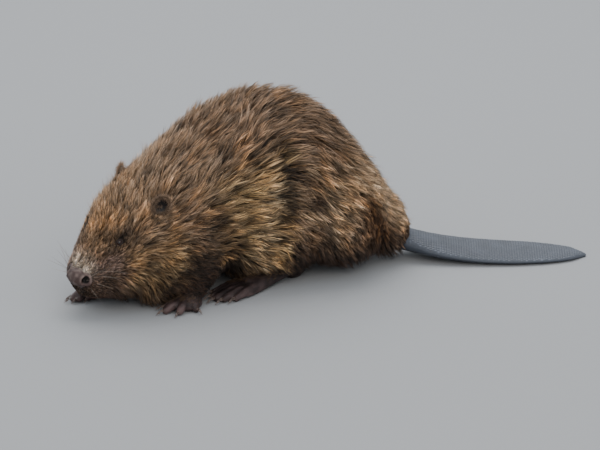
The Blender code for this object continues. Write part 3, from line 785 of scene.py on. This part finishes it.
# Painted shade where hair tips end in a fold.
end_folds = [(FLANK_FOLD, 12), (TAIL_FOLD[1:], 16), (CHEEK_FOLD, 8)]
end_folds = np.maximum.reduce([near_line(ends, line, width * MM) for line, width in end_folds])
tip_marks_light_and_shade = blended(
    marks_light_and_shade * 1.5,
    (mix(PALE, GOLD, flank * 0.6 + cheek * 0.5) * 1.15, np.clip(pale_tips, 0, 0.9)),
    (STRAW * 1.25, near_line(ends, BLOND_BAND, 15 * MM) * (1 - end_folds) * 0.75),
    (SHADE, end_folds * 0.92),
)
tip_marks_light_and_shade = capped(tip_marks_light_and_shade, 1.3 * BRIGHTEST)

# Skin under the coat is darker than the coat; bare parts have their own colours plus painted shade and
# highlights.
# Painted shade in the skin's hollows, as between the digits and round the nose.
hollow_shade = dot(skin.smoothed(skin.points, 8) - skin.points, skin.normals)[:, 0] / (0.35 * MM)
hollow_shade = np.clip(skin.smoothed(hollow_shade, 2), -1, 1)
from_flesh = nearest(flesh_tree, skin.points)[3]
# Toe tips paler, partly painted highlight; hind feet darker, partly painted shade under the body.
paw_pale = (0.10 + 0.45 * step(14 * MM, 40 * MM, from_flesh)) * (1 - 0.35 * hind)
paw_pale = paw_pale + 0.12 * np.clip(noise(skin.points, 0.008, 5), -1, 1)
paw_tone = mix(PAW_SKIN, PAW_PALE, np.clip(paw_pale, 0, 1)) * np.exp(-0.55 * hollow_shade)[:, None]
paw_tone = paw_tone * (0.42 - 0.14 * hind)[:, None]
# Painted highlight: the nose paler on the upper rims of its nostrils and on its upper part.
rim = bell(from_nostrils - 1.35, 0.3) * step(NOSTRIL[2] - 2 * MM, NOSTRIL[2] + 2 * MM, above_nose)
rim = rim + 0.5 * step(1 * MM, 6 * MM, above_nose)
nose_tone = mix(MAUVE, MAUVE_HIGHLIGHT, np.clip(rim * 0.25 + 0.15 * noise(skin.points, 0.004, 6), 0, 1))
# Painted shade: the nostrils are near black.
nose_tone = mix(nose_tone * np.exp(-0.4 * hollow_shade)[:, None], PIT, nostrils)
tones = blended(
    marks_light_and_shade * (0.30 + 0.45 * step(8 * MM, 2 * MM, coat))[:, None],
    (paw_tone, paws),
    (nose_tone, nose),
    (mix(BROWN * 0.6, EAR_SKIN, 0.6 + 0.4 * ear_pits), ears),
    (SLATE, tail),
    # painted shade in the ears' hollows
    (EAR_SKIN, ear_pits),
    (SHADE * 0.8, step(2.2, 1.3, lids) * 0.9),
    # painted shade along the line of the mouth
    (PIT, np.clip(mouth * 1.2, 0, 1) * 0.8),
)

# ---------------------------------------------------------------- materials


def dressed(
    name, tone=None, colour=(0.5, 0.5, 0.5), roughness=0.6, grain=0.25, grain_size=1 * MM, bumps=(),
    **shader_values,
):
    """A material whose colour is the attribute tone, or else colour, and varies by a fine grain. Bumps are
    given as (kind, size, height, attribute that says where or None)."""
    material = bpy.data.materials.new(name)
    material.use_nodes = True
    nodes, links = material.node_tree.nodes, material.node_tree.links

    def node(kind, **inputs):
        """A new node, with each input given as a value or as the output that feeds it."""
        made = nodes.new("ShaderNode" + kind)
        for label, value in inputs.items():
            socket = made.inputs[label.replace("_", " ")]
            if isinstance(value, bpy.types.NodeSocket):
                links.new(value, socket)
            else:
                socket.default_value = value
        return made

    def attribute_of(name, output):
        made = node("Attribute")
        made.attribute_name = name
        return made.outputs[output]

    shader = nodes["Principled BSDF"]
    space = node("TexCoord").outputs["Object"]
    texture = node("TexNoise", Scale=1 / grain_size / 6, Detail=4, Vector=space).outputs["Fac"]
    span = node("MapRange", To_Min=1 - grain, To_Max=1 + grain, Value=texture).outputs["Result"]
    dull, bright = min(roughness * 1.15, 1), roughness * 0.85
    rough = node("MapRange", To_Min=bright, To_Max=dull, Value=texture).outputs["Result"]
    if tone:
        source = attribute_of(tone, "Color")
    else:
        source = node("RGB").outputs[0]
        source.default_value = (*colour, 1)
    shaded = node("VectorMath", Vector=source)
    shaded.operation = "SCALE"
    links.new(span, shaded.inputs["Scale"])
    links.new(shaded.outputs["Vector"], shader.inputs["Base Color"])
    links.new(rough, shader.inputs["Roughness"])
    given = {}
    for kind, size, height, attribute in bumps:
        if kind == "cells":
            level = node("TexVoronoi", Scale=1 / size, Vector=space).outputs["Distance"]
        else:
            level = node("TexNoise", Scale=1 / size / 2, Detail=3, Vector=space).outputs["Fac"]
        if attribute:
            given["Strength"] = attribute_of(attribute, "Fac")
        given = {"Normal": node("Bump", Distance=height, Height=level, **given).outputs["Normal"]}
    if given:
        links.new(given["Normal"], shader.inputs["Normal"])
    for socket, value in shader_values.items():
        shader.inputs[socket.replace("_", " ")].default_value = value
    return material


skin_material = dressed(
    "skin", tone="tone", roughness=0.52, grain=0.22, grain_size=0.5 * MM,
    bumps=(("cells", 1.3 * MM, 0.5 * MM, "leather"), ("noise", 0.7 * MM, 0.25 * MM, None)),
    Specular_IOR_Level=0.3,
)
coat_material = dressed(
    "coat", tone="tone", roughness=0.62, grain=0.16, grain_size=1.2 * MM,
    Specular_IOR_Level=0.13, Sheen_Weight=0.04,
)
scale_material = dressed(
    "tail_scales", tone="tone", roughness=0.42, grain=0.18, grain_size=0.4 * MM,
    bumps=(("noise", 0.5 * MM, 0.12 * MM, None),),
)
eye_material = dressed(
    "eye", tone="tone", roughness=0.09, grain=0.25, grain_size=0.3 * MM, Specular_IOR_Level=0.4,
)
claw_material = dressed(
    "claw_horn", colour=srgb(104, 88, 80), roughness=0.38, grain=0.35, grain_size=0.9 * MM,
    bumps=(("noise", 0.5 * MM, 0.12 * MM, None),),
)
floor_material = dressed(
    "studio_floor", colour=(0.34, 0.34, 0.345), roughness=0.8, grain=0.03, grain_size=3 * MM,
    bumps=(("noise", 2 * MM, 0.15 * MM, None),),
)

skin_piece = mesh_piece("skin", skin.points, skin.triangles, skin_material)
colour_points(skin_piece.data, "tone", tones)
value_points(skin_piece.data, "leather", np.clip(paws + 0.8 * nose + 0.3 * tail, 0, 1))
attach(skin_piece, "root")
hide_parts(*FURRED, *BARE)

for name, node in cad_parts.items():
    if name.startswith("claw"):
        node.data.materials.clear()
        node.data.materials.append(claw_material)
        rounder = node.modifiers.new("rounder", "SUBSURF")
        rounder.levels = rounder.render_levels = 1

# ---------------------------------------------------------------- strands

COAT_PIECE_TRIANGLES = 190000
PATCH = 0.003  # how large a strand's own patch of the coat's map is


class Places:
    """Random places on the skin, more of them where the weight is higher."""

    def __init__(self, count, weight, seed):
        random = np.random.default_rng(seed)
        share = skin.areas * weight[skin.triangles].mean(axis=1)
        faces = random.choice(len(share), count, p=share / share.sum())
        corner = random.random((count, 2))
        corner = np.where(corner.sum(axis=1, keepdims=True) > 1, 1 - corner, corner)
        self.corners = skin.triangles[faces]
        self.shares = np.column_stack([1 - corner.sum(axis=1), corner])
        self.points = self.of(skin.points)
        self.normals = unit(self.of(skin.normals))
        self.flow = self.of(flow)
        self.flow = unit(self.flow - self.normals * dot(self.flow, self.normals))

    def of(self, values):
        """Values of the skin's vertices read at these places."""
        picked = values[self.corners]
        shares = self.shares if picked.ndim == 2 else self.shares[..., None]
        return (picked * shares).sum(axis=1)


def unwrapped(points, normals):
    """Where points of the skin lie on its map: the six sides of a box round the body, side by side."""
    x, y, z = (points - np.array(CAD_BOX[0])).T
    facing = np.abs(normals).argmax(axis=1)
    front = np.take_along_axis(normals, facing[:, None], axis=1)[:, 0] > 0
    left_right = np.column_stack([(x - 0.19) + 0.5 * front, z + 0.005])
    top_bottom = np.column_stack([(x - 0.19) + 0.5 * front, y + 0.25])
    front_back = np.column_stack([y + 0.5 * front, z + 0.56])
    return np.choose(facing[:, None], [front_back, left_right, top_bottom])


STRAY_LIMIT = 8 * MM  # how far a stray hair may stand above the highest point of the solids


def strand_pattern(rings):
    """The triangles of one strand: three sides between its rings, closed to a point at its end."""
    sides, end = ((0, 1), (1, 2), (2, 0)), 3 * (rings - 1)
    pattern = []
    for p in range(0, end - 3, 3):
        q = p + 3
        for a, b in sides:
            pattern += [(p + a, q + a, p + b), (p + b, q + a, q + b)]
    return np.array(pattern + [(end - 3 + a, end, end - 3 + b) for a, b in sides])


def strand_pieces(name, curve, thick, fade, facing, colours, roots):
    """Strands along curves, one curve per row, as joined meshes. Fade is the share of the thickness that is
    left at each ring."""
    count, rings = curve.shape[:2]
    curve = curve.copy()
    past_top = np.maximum(curve[..., 2] - CAD_BOX[1][2], 0)
    curve[..., 2] -= past_top - STRAY_LIMIT * np.tanh(past_top / STRAY_LIMIT)
    ahead = unit(np.diff(curve, axis=1))
    side = unit(np.cross(ahead, facing[:, None, :]))
    top = np.cross(side, ahead)
    columns, shades = [], []
    for j, share in enumerate(fade):
        half = thick[:, None] * share / 2
        middle_line, off, over = curve[:, j], side[:, j] * half, top[:, j] * half * 1.1
        columns += [middle_line - off, middle_line + off, middle_line + over]
        shades += [colours[:, j]] * 3
    points = np.stack(columns + [curve[:, -1]], axis=1)
    shades = np.stack(shades + [colours[:, -1]], axis=1)
    per, pattern = points.shape[1], strand_pattern(rings)
    across_patch = np.array([0, 1, 0.5] * (rings - 1) + [0.5])
    along_patch = np.append(np.repeat(np.arange(rings - 1), 3) / (rings - 1), 1.0)
    on_patch = np.column_stack([across_patch, along_patch]) * PATCH
    map_places = unwrapped(roots, facing)[:, None, :] + on_patch
    per_piece = COAT_PIECE_TRIANGLES // len(pattern)
    for number, first in enumerate(range(0, count, per_piece)):
        part = slice(first, min(first + per_piece, count))
        triangles = (pattern[None] + per * np.arange(part.stop - part.start)[:, None, None]).reshape(-1, 3)
        piece = mesh_piece(f"{name}_{number + 1}", points[part].reshape(-1, 3), triangles, coat_material)
        colour_points(piece.data, "tone", shades[part].reshape(-1, 3))
        map_points(piece.data, triangles, map_places[part].reshape(-1, 2))
        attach(piece, "root")


# ---------------------------------------------------------------- the coat

CLUMPS = 24000
CLUMP_FAR = 12 * MM  # roots further than this from their tuft's middle aren't drawn to it
RINGS = (0.0, 0.36, 0.70, 1.0)  # places along a strand
RING_FADES = (0.9, 1.0, 0.72)  # its thickness there, before its pointed end
THICKNESS = (0.42, 0.62, 0.88)  # in mm, of strands with a short, a usual and a long reach
TONES, TONE_SHARES = (0.38, 1.0, 1.58), (0.30, 0.42, 0.28)  # dark, plain and pale tufts or strands
WARMTH = np.array([0.05, 0.0, -0.07])  # how warm hairs differ from the others in red, green and blue


def by_reach(reach, values):
    """A value for coats with a short, a usual and a long reach, for each place."""
    return np.interp(reach, (4 * MM, 10 * MM, 28 * MM), values)


clump_size = by_reach(reach, (1.8 * MM, 3.0 * MM, 4.6 * MM))
clumps = Places(CLUMPS, furred / clump_size**2, 21)
random = np.random.default_rng(22)
clump_reach = clumps.of(reach) * random.uniform(0.82, 1.12, CLUMPS)
clump_coat = clumps.of(coat)
sideways = np.cross(clumps.normals, clumps.flow)
clump_flow = unit(clumps.flow + sideways * random.normal(0, 0.15, (CLUMPS, 1)))
clump_bend = sideways * random.normal(0, 0.12, (CLUMPS, 1)) * clump_reach[:, None]


def clump_line(t):
    """Where tufts are at a place t along them, before they settle."""
    lift = clump_coat[:, None] * 1.05 * (1 - (1 - t) ** 2)
    return clumps.points + clump_flow * clump_reach[:, None] * t + clumps.normals * lift + clump_bend * t * t


# The tips of the tufts settle on the hull, a little in or out of it, deeper in the folds and out where they
# hang.
tips = clump_line(1.0)
hull_tips, tip_normals, _, _ = nearest(hull_tree, tips)
outside = dot(tips - hull_tips, tip_normals)
folds = [near_line(tips, FLANK_FOLD, 9 * MM), 0.8 * near_line(tips, TAIL_FOLD[1:], 12 * MM),
         near_line(tips, CHEEK_FOLD, 8 * MM)]
tufts = noise(clumps.points, 0.016, 23)
wanted = (clump_coat * (-0.10 + 0.12 * tufts + random.uniform(-0.25, 0.14, CLUMPS))
          - 9 * MM * np.maximum.reduce(folds) + clumps.of(hang * (7 + 7 * jowl)) * MM)
settle = tip_normals * (wanted[:, None] - outside)
clump_curve = np.stack([clump_line(t) + settle * t**1.6 - clumps.points for t in RINGS], axis=1)
clump_tone = random.choice(TONES, CLUMPS, p=TONE_SHARES)
clump_tone = clump_tone * np.exp(random.normal(0, 0.12, CLUMPS) + 0.14 * noise(clumps.points, 0.011, 24))
clump_warmth = random.normal(0, 0.8, CLUMPS)
clump_tree = KDTree(CLUMPS)
for i, point in enumerate(clumps.points):
    clump_tree.insert(point, i)
clump_tree.balance()
# How loose the coat is: loosest on the nape, the crown and the rump.
fuzz = (0.6 + 0.8 * step(0.62, 0.72, u) * step(0.1, 0.6, up) + 0.5 * rump
        + 0.9 * step(0.66, 0.72, u) * step(0.88, 0.80, u) * step(0.2, 0.6, up))


def grow(kind, count, seed, rings, wide, length, pull, shades, tipped, stray, stand, spread, weight=1):
    """Strands of one kind all over the coat. Rings are places in RINGS, and for each of RINGS there is a
    shade and how far it takes the colour of the tips. Wide and length are set against a usual strand, pull is
    how far strands are drawn to their tuft and stray how far they part from it, stand is how far out they
    lift, and spread how much their tones differ."""
    random = np.random.default_rng(seed)
    roots = Places(count, density * weight, seed)
    mine = np.array([clump_tree.find(point)[1] for point in roots.points])
    gap = clumps.points[mine] - roots.points
    own_reach = roots.of(reach)
    scale = np.clip(own_reach / clump_reach[mine], 0.4, 1.3) * random.uniform(0.8, 1.15, count) * length
    pulled = pull * random.uniform(0.5, 1.2, count) * np.where(norm(gap) > CLUMP_FAR, 0, 1)
    thick = by_reach(own_reach, [width * MM for width in THICKNESS]) * wide
    thick *= random.uniform(0.7, 1.3, count)
    lifted = random.uniform(-0.2, 1, count) * stand * roots.of(fuzz)
    parting = random.normal(0, stray, (count, 3)) + roots.normals * lifted[:, None]
    parting *= own_reach[:, None]
    curve = []
    for k in rings:
        t = RINGS[k]
        own = roots.points + clump_curve[mine, k] * scale[:, None]
        curve.append(own + gap * (pulled * t**1.3)[:, None] + parting * t * t)
    curve = np.stack(curve, axis=1)
    curve[:, :, 2] = np.maximum(curve[:, :, 2], 0.8 * MM)
    tone = clump_tone[mine] * random.choice(TONES, count, p=TONE_SHARES)
    tone = tone * np.exp(random.normal(0, spread, count))
    warm = 1 + WARMTH * (clump_warmth[mine] + random.normal(0, 0.7, count))[:, None]
    base, tip = roots.of(marks_light_and_shade) * warm * tone[:, None], roots.of(tip_marks_light_and_shade) * warm * (tone**0.7)[:, None]
    colours = np.stack([mix(base * shades[k], tip, np.full(count, tipped[k])) for k in rings], axis=1)
    fade = [RING_FADES[k] for k in rings[:-1]]
    strand_pieces("coat_" + kind, curve, thick, fade, roots.normals, colours, roots.points)


density = furred / (by_reach(reach, THICKNESS) * np.maximum(reach, 5 * MM))
density *= 1 - 0.5 * step(-0.6, -0.95, skin.normals[:, 2])
guard = 0.12 + step(0.56, 0.66, u) * step(0.0, 0.5, up) + 0.7 * rump
# Shades run from a dark root to a pale end: the fur's own darker base, deepened as painted shade inside the
# coat.
grow("under", 26000, 31, (0, 1, 3), wide=2.0, length=0.70, pull=0.30, stray=0.05, stand=0.0, spread=0.15,
     shades=(0.18, 0.27, 0.42, 0.56), tipped=(0, 0, 0, 0))
grow("locks", 30000, 32, (0, 1, 2, 3), wide=0.88, length=1.0, pull=0.60, stray=0.03, stand=0.04, spread=0.12,
     shades=(0.20, 0.52, 1.0, 1.25), tipped=(0, 0.05, 0.4, 0.9))
grow("hairs", 70000, 33, (0, 1, 3), wide=0.60, length=1.04, pull=0.42, stray=0.06, stand=0.10, spread=0.18,
     shades=(0.22, 0.72, 1.15, 1.45), tipped=(0, 0.15, 0.5, 1.0))
grow("guard", 7000, 34, (0, 1, 3), wide=0.55, length=1.12, pull=0.2, stray=0.08, stand=0.36, spread=0.15,
     shades=(0.6, 0.9, 1.2, 1.5), tipped=(0, 0.3, 0.7, 1.0), weight=guard)

# ---------------------------------------------------------------- short hair on the ears, wrists and paws

EAR_HAIRS, PAW_HAIRS = 1500, 2600
# The right (far) ear's hairs are paler: painted light, as if lit from behind.
EAR_HAIR_PALE, EAR_HAIR_LONG = {"left": 0.5, "right": 0.95}, {"left": 1.0, "right": 1.6}


def tufts_of_hair(name, roots, facing, ahead, length, thick, colours, seed, droop=0.0):
    """Short hairs that grow ahead from their roots and bend towards their ends."""
    random = np.random.default_rng(seed)
    count = len(roots)
    way = unit(ahead + random.normal(0, 0.22, (count, 3)))
    bend = random.normal(0, 0.18, (count, 3)) * length[:, None] - np.array([0, 0, droop]) * length[:, None]
    steps = np.array((0.0, 0.5, 1.0))[:, None]
    curve = roots[:, None] + way[:, None] * length[:, None, None] * steps + bend[:, None] * steps**2
    curve[:, :, 2] = np.maximum(curve[:, :, 2], 0.5 * MM)
    shades = colours[:, None] * np.array((0.55, 0.95, 1.25))[:, None]
    strand_pieces(name, curve, thick, (1.0, 0.8), facing, shades, roots)


for side in SIDES:
    # Three hairs in four grow on the rim and the others in the hollow or on the back.
    random = np.random.default_rng(40 + OUT[side])
    centre, faces, across_ear, ear_up = ear_axes(side)
    turn = random.uniform(0, 2 * np.pi, EAR_HAIRS)
    out = across_ear * np.cos(turn)[:, None] + ear_up * np.sin(turn)[:, None]
    on_rim = random.random(EAR_HAIRS) < 0.75
    radius = np.where(on_rim, random.uniform(0.86, 1.0, EAR_HAIRS), random.uniform(0.45, 0.9, EAR_HAIRS))
    spots = centre + across_ear * (radius * np.cos(turn) * EAR_WIDTH / 2)[:, None]
    spots = spots + ear_up * (radius * np.sin(turn) * EAR_HEIGHT / 2)[:, None]
    spots = spots + faces * np.where(radius > 0.84, 1.0 * MM, -6 * MM)[:, None]
    roots, facing, _, _ = nearest(skin_tree, spots)
    above = (roots - centre) @ ear_up > -0.42 * EAR_HEIGHT
    roots, facing, out = roots[above], facing[above], out[above]
    count = len(roots)
    inward = np.where(random.random((count, 1)) < 0.35, -0.6, 1.0)
    tilt = random.normal(0.1, 0.7, (count, 1))
    ahead = unit(out * inward + faces * (inward < 0) * 0.5 + 0.35 * faces * tilt + 0.25 * ear_up)
    pale = np.clip(random.normal(EAR_HAIR_PALE[side], 0.3, count), 0, 1)
    shades = mix(srgb(62, 47, 38), srgb(164, 136, 112), pale)
    hair_long = random.uniform(3.0, 5.6, count) * EAR_HAIR_LONG[side] * MM
    hair_thick = random.uniform(0.22, 0.4, count) * MM
    tufts_of_hair("ear_hair_" + side, roots, facing, ahead, hair_long, hair_thick, shades, 44 + OUT[side])

paw_top = paws * step(0.1, 0.5, skin.normals[:, 2]) * step(16 * MM, 2 * MM, from_flesh)
paw_roots = Places(PAW_HAIRS, paw_top + 1e-9, 51)
random = np.random.default_rng(52)
headings = sum(
    share_of(bare_owners, BARE_NAMES, name) * math.radians(angle) for name, angle in PAW_HEADINGS.items()
)
paw_ahead = paw_roots.of(np.column_stack([np.cos(headings), np.sin(headings), np.zeros(len(headings))]))
paw_ahead = unit(paw_ahead - paw_roots.normals * dot(paw_ahead, paw_roots.normals) * 0.85)
paw_colours = mix(SHADE, BROWN, np.clip(random.normal(0.2, 0.25, PAW_HAIRS), 0, 1))
hair_long = random.uniform(3.0, 5.5, PAW_HAIRS) * MM
hair_thick = random.uniform(0.3, 0.5, PAW_HAIRS) * MM
tufts_of_hair("paw_hair", paw_roots.points, paw_roots.normals, unit(paw_ahead + 0.25 * paw_roots.normals),
              hair_long, hair_thick, paw_colours, 53, droop=0.15)

# ---------------------------------------------------------------- eyes

EYE_PUPIL, EYE_IRIS, EYE_RIM = srgb(14, 10, 10), srgb(50, 30, 20), srgb(22, 16, 15)
CORNEA, CORNEA_BULGE = 35, 0.35 * MM  # its half width in degrees and how far it stands out
PUPIL, IRIS = 17, 36  # degrees from the way the eye looks

bm = bmesh.new()
bmesh.ops.create_icosphere(bm, subdivisions=5, radius=EYE_RADIUS)
ball_mesh = bpy.data.meshes.new("ball")
bm.to_mesh(ball_mesh)
bm.free()
ball = arrays_of(ball_mesh)
for side in SIDES:
    looks, to_ear, _ = eye_axes(side)
    away = np.degrees(np.arccos(np.clip(unit(ball[0]) @ looks, -1, 1)))
    bulge = CORNEA_BULGE * np.clip(1 - (away / CORNEA) ** 2, 0, 1)
    points = EYE[side] + ball[0] + unit(ball[0]) * bulge[:, None]
    eye_piece = mesh_piece("eyeball_" + side, points, ball[1], eye_material)
    shades = mix(EYE_PUPIL, EYE_IRIS, step(PUPIL - 2, PUPIL + 3, away))
    shades = mix(shades, EYE_RIM, step(IRIS - 3, IRIS + 5, away))
    colour_points(eye_piece.data, "tone", shades)
    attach(eye_piece, "root")
    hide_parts("eye_" + side)

# ---------------------------------------------------------------- scales of the tail

PLATE_LONG, PLATE_WIDE = 3.2 * MM, 4.1 * MM
PLATE_MARGIN = 0.6 * MM  # between the outermost plates' middles and the tail's edge
PLATE_DARK, PLATE_PALE = srgb(56, 60, 70), srgb(82, 88, 100)
PLATE_TURNS = np.radians((90, 30, -30, -90, -150, 150))
# The darker edge of each plate is painted shade in the gaps between the scales.
PLATE_SHADES = np.array([0.62] * 6 + [1.0] * 6 + [1.05])  # its edge, the ring inside it and its middle
# The tail's root and the way it points, seen from above, with its length, its half width and its outline.
TAIL_START, TAIL_TURN, TAIL_LONG, TAIL_HALF = np.array((-0.1061, 0.0102)), math.radians(152.4), 0.262, 0.045
TAIL_KEYS = (0, 0.10, 0.22, 0.40, 0.58, 0.75, 0.88, 0.96, 1)
TAIL_SHARES = (0.44, 0.58, 0.82, 0.98, 1, 0.90, 0.66, 0.38, 0.08)
tail_ahead = np.array((np.cos(TAIL_TURN), np.sin(TAIL_TURN)))
tail_left = np.array((-tail_ahead[1], tail_ahead[0]))


def plate_corners(centre, long, wide):
    """The corners of a plate from above, each with how far it stands out: its edge, a ring and its middle."""
    corners = []
    for size, raised, tilt in ((1.0, -0.12, 0), (0.76, 0.20, 0.12)):
        for turn in PLATE_TURNS:
            a, b = np.cos(turn), np.sin(turn)
            spot = centre + size * (tail_ahead * a * long * 0.60 + tail_left * b * wide * 0.50)
            corners.append((*spot, (raised + tilt * a) * MM))
    return corners + [(*centre, 0.24 * MM)]


def plate_faces():
    """The triangles of a plate, between its edge, the ring inside it and its middle."""
    after = [(i + 1) % 6 for i in range(6)]
    faces = [(i, after[i], 6 + i) for i in range(6)]
    faces += [(after[i], 6 + after[i], 6 + i) for i in range(6)]
    return np.array(faces + [(6 + i, 6 + after[i], 12) for i in range(6)])


def laid_on_tail(corners, from_above):
    """The corners laid on one face of the tail, or None where one misses it or would touch the floor."""
    places = []
    for x, y, raised in corners:
        start = Vector((x, y, 0.2 if from_above else -0.05))
        hit, normal, index, _ = skin_tree.ray_cast(start, Vector((0, 0, -1 if from_above else 1)))
        if hit is None or tail[skin.triangles[index]].mean() < 0.55:
            return None
        places.append(np.array(hit) + np.array(normal) * raised)
    places = np.array(places)
    places[:, 2] = np.maximum(places[:, 2], 0.05 * MM)
    return places if from_above or places[:, 2].min() >= 0.6 * MM else None


def plates(name, from_above, seed):
    """Flat scales in staggered rows over one face of the tail, each higher at its rear edge."""
    random = np.random.default_rng(seed)
    points, shades, centres = [], [], []
    for row in range(int(TAIL_LONG * 0.985 / PLATE_LONG)):
        run = (row + 0.6) * PLATE_LONG
        half = TAIL_HALF * np.interp(run / TAIL_LONG, TAIL_KEYS, TAIL_SHARES)
        ranks = int(half / PLATE_WIDE) + 1
        for rank in range(-ranks, ranks + 1):
            off = (rank + 0.5 * (row % 2)) * PLATE_WIDE
            if abs(off) > half - PLATE_MARGIN:
                continue
            centre = TAIL_START + tail_ahead * (run + random.normal(0, 0.10) * MM)
            centre = centre + tail_left * (off + random.normal(0, 0.12) * MM)
            long, wide = PLATE_LONG * random.uniform(0.95, 1.06), PLATE_WIDE * random.uniform(0.93, 1.03)
            found = laid_on_tail(plate_corners(centre, long, wide), from_above)
            if found is None:
                continue
            # Painted highlight: plates paler towards the tail's edges; they also grow paler towards its end.
            edge, rear = step(0.75, 1.0, abs(off) / max(half, 1 * MM)), step(0.35, 0.9, run / TAIL_LONG)
            tone = mix(PLATE_DARK, PLATE_PALE, np.clip(0.5 * edge + 0.35 * rear, 0, 1))
            tone = tone * np.exp(random.normal(0, 0.08) + 0.12 * noise(found[:1], 0.016, seed)[0])
            points.append(found)
            shades.append(tone * PLATE_SHADES[:, None])
            centres.append(centre)
    count, per = len(centres), len(PLATE_SHADES)
    points, shades = np.concatenate(points), np.concatenate(shades)
    triangles = (plate_faces()[None] + per * np.arange(count)[:, None, None]).reshape(-1, 3)
    if not from_above:
        triangles = triangles[:, ::-1]
    piece = mesh_piece(name, points, triangles, scale_material)
    colour_points(piece.data, "tone", shades)
    flat = points[:, :2] - np.repeat(np.array(centres), per, axis=0)
    spots = unwrapped(points, np.tile((0.0, 0.0, 1.0 if from_above else -1.0), (len(points), 1)))
    middles = np.repeat(spots.reshape(-1, per, 2).mean(axis=1), per, axis=0)
    map_points(piece.data, triangles, middles + flat / PLATE_WIDE * PATCH)
    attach(piece, "root")


plates("tail_scales_top", True, 61)
plates("tail_scales_under", False, 62)

# ---------------------------------------------------------------- whiskers

WHISKERS = 16  # on each side
WHISKER_FADE = (1, 0.85, 0.7, 0.5, 0.35)

roots, ways, lengths = [], [], []
for side in SIDES:
    random = np.random.default_rng(70 + OUT[side])
    for i in range(WHISKERS):
        back, down = random.uniform(4, 24), random.uniform(2, 13)
        start = head_point(-back * MM, OUT[side] * (15 + 0.25 * back) * MM, -down * MM)
        root, normal, _, _ = nearest(skin_tree, start[None])
        outwards = normal[0] * 0.8 + HEAD_LEFT * OUT[side] * 0.6
        roots.append(root[0])
        way = outwards - HEAD_AHEAD * random.uniform(0.2, 1.1) - HEAD_UP * random.uniform(-0.15, 0.7)
        ways.append(unit(way))
        lengths.append(random.uniform(24, 44) * MM)
roots, ways, lengths = np.array(roots), np.array(ways), np.array(lengths)
steps = np.linspace(0, 1, len(WHISKER_FADE) + 1)
sag = np.array([0, 0, -0.16]) - HEAD_AHEAD * 0.14
curve = roots[:, None] + (ways[:, None] * steps[:, None] + sag * (steps**2)[:, None]) * lengths[:, None, None]
curve[:, :, 2] = np.maximum(curve[:, :, 2], 1 * MM)
shades = mix(srgb(66, 52, 46), srgb(188, 172, 156), np.random.default_rng(73).random(len(roots)))
shades = np.tile(shades[:, None], (1, len(steps), 1))
thick = np.full(len(roots), 0.40 * MM)
facing = unit(np.cross(ways, [0.1, 0.2, 1]))
strand_pieces("whiskers", curve, thick, WHISKER_FADE, facing, shades, roots)

# ---------------------------------------------------------------- floor, light and camera

FLOOR_HALF = 20
corners = [(x * FLOOR_HALF, y * FLOOR_HALF, 0) for x, y in ((-1, -1), (1, -1), (1, 1), (-1, 1))]
floor = mesh_piece("floor", np.array(corners, float), np.array([(0, 1, 2), (0, 2, 3)]), floor_material)

world = bpy.data.worlds.new("studio")
world.use_nodes = True
sky = world.node_tree.nodes["Background"]
sky.inputs["Color"].default_value = (0.86, 0.93, 1.0, 1)
sky.inputs["Strength"].default_value = 1.0
bpy.context.scene.world = world

TARGET = Vector((0.024, 0.0386, 0.068))
CAMERA_AWAY = 5.0
TO_CAMERA = Vector((0.4318, 0.8474, 0.309)).normalized()


def add_light(name, place, size, power, colour=(1, 1, 1)):
    """A square lamp in watts that looks at the target."""
    data = bpy.data.lights.new(name, "AREA")
    data.shape, data.size, data.energy, data.color = "SQUARE", size, power, colour
    light = placed(name, data)
    light.location = place
    light.rotation_euler = (Vector(place) - TARGET).to_track_quat("Z", "Y").to_euler()


add_light("overhead", (-0.6, -1.2, 2.6), 2.5, 57)
add_light("fill", (1.0, 3.2, 2.1), 2.0, 55, (1.0, 0.95, 0.88))

camera_data = bpy.data.cameras.new("camera")
camera_data.lens, camera_data.sensor_width = 240, 36
camera = placed("camera", camera_data)
camera.location = TARGET + TO_CAMERA * CAMERA_AWAY
camera.rotation_euler = TO_CAMERA.to_track_quat("Z", "Y").to_euler()
bpy.context.scene.camera = camera
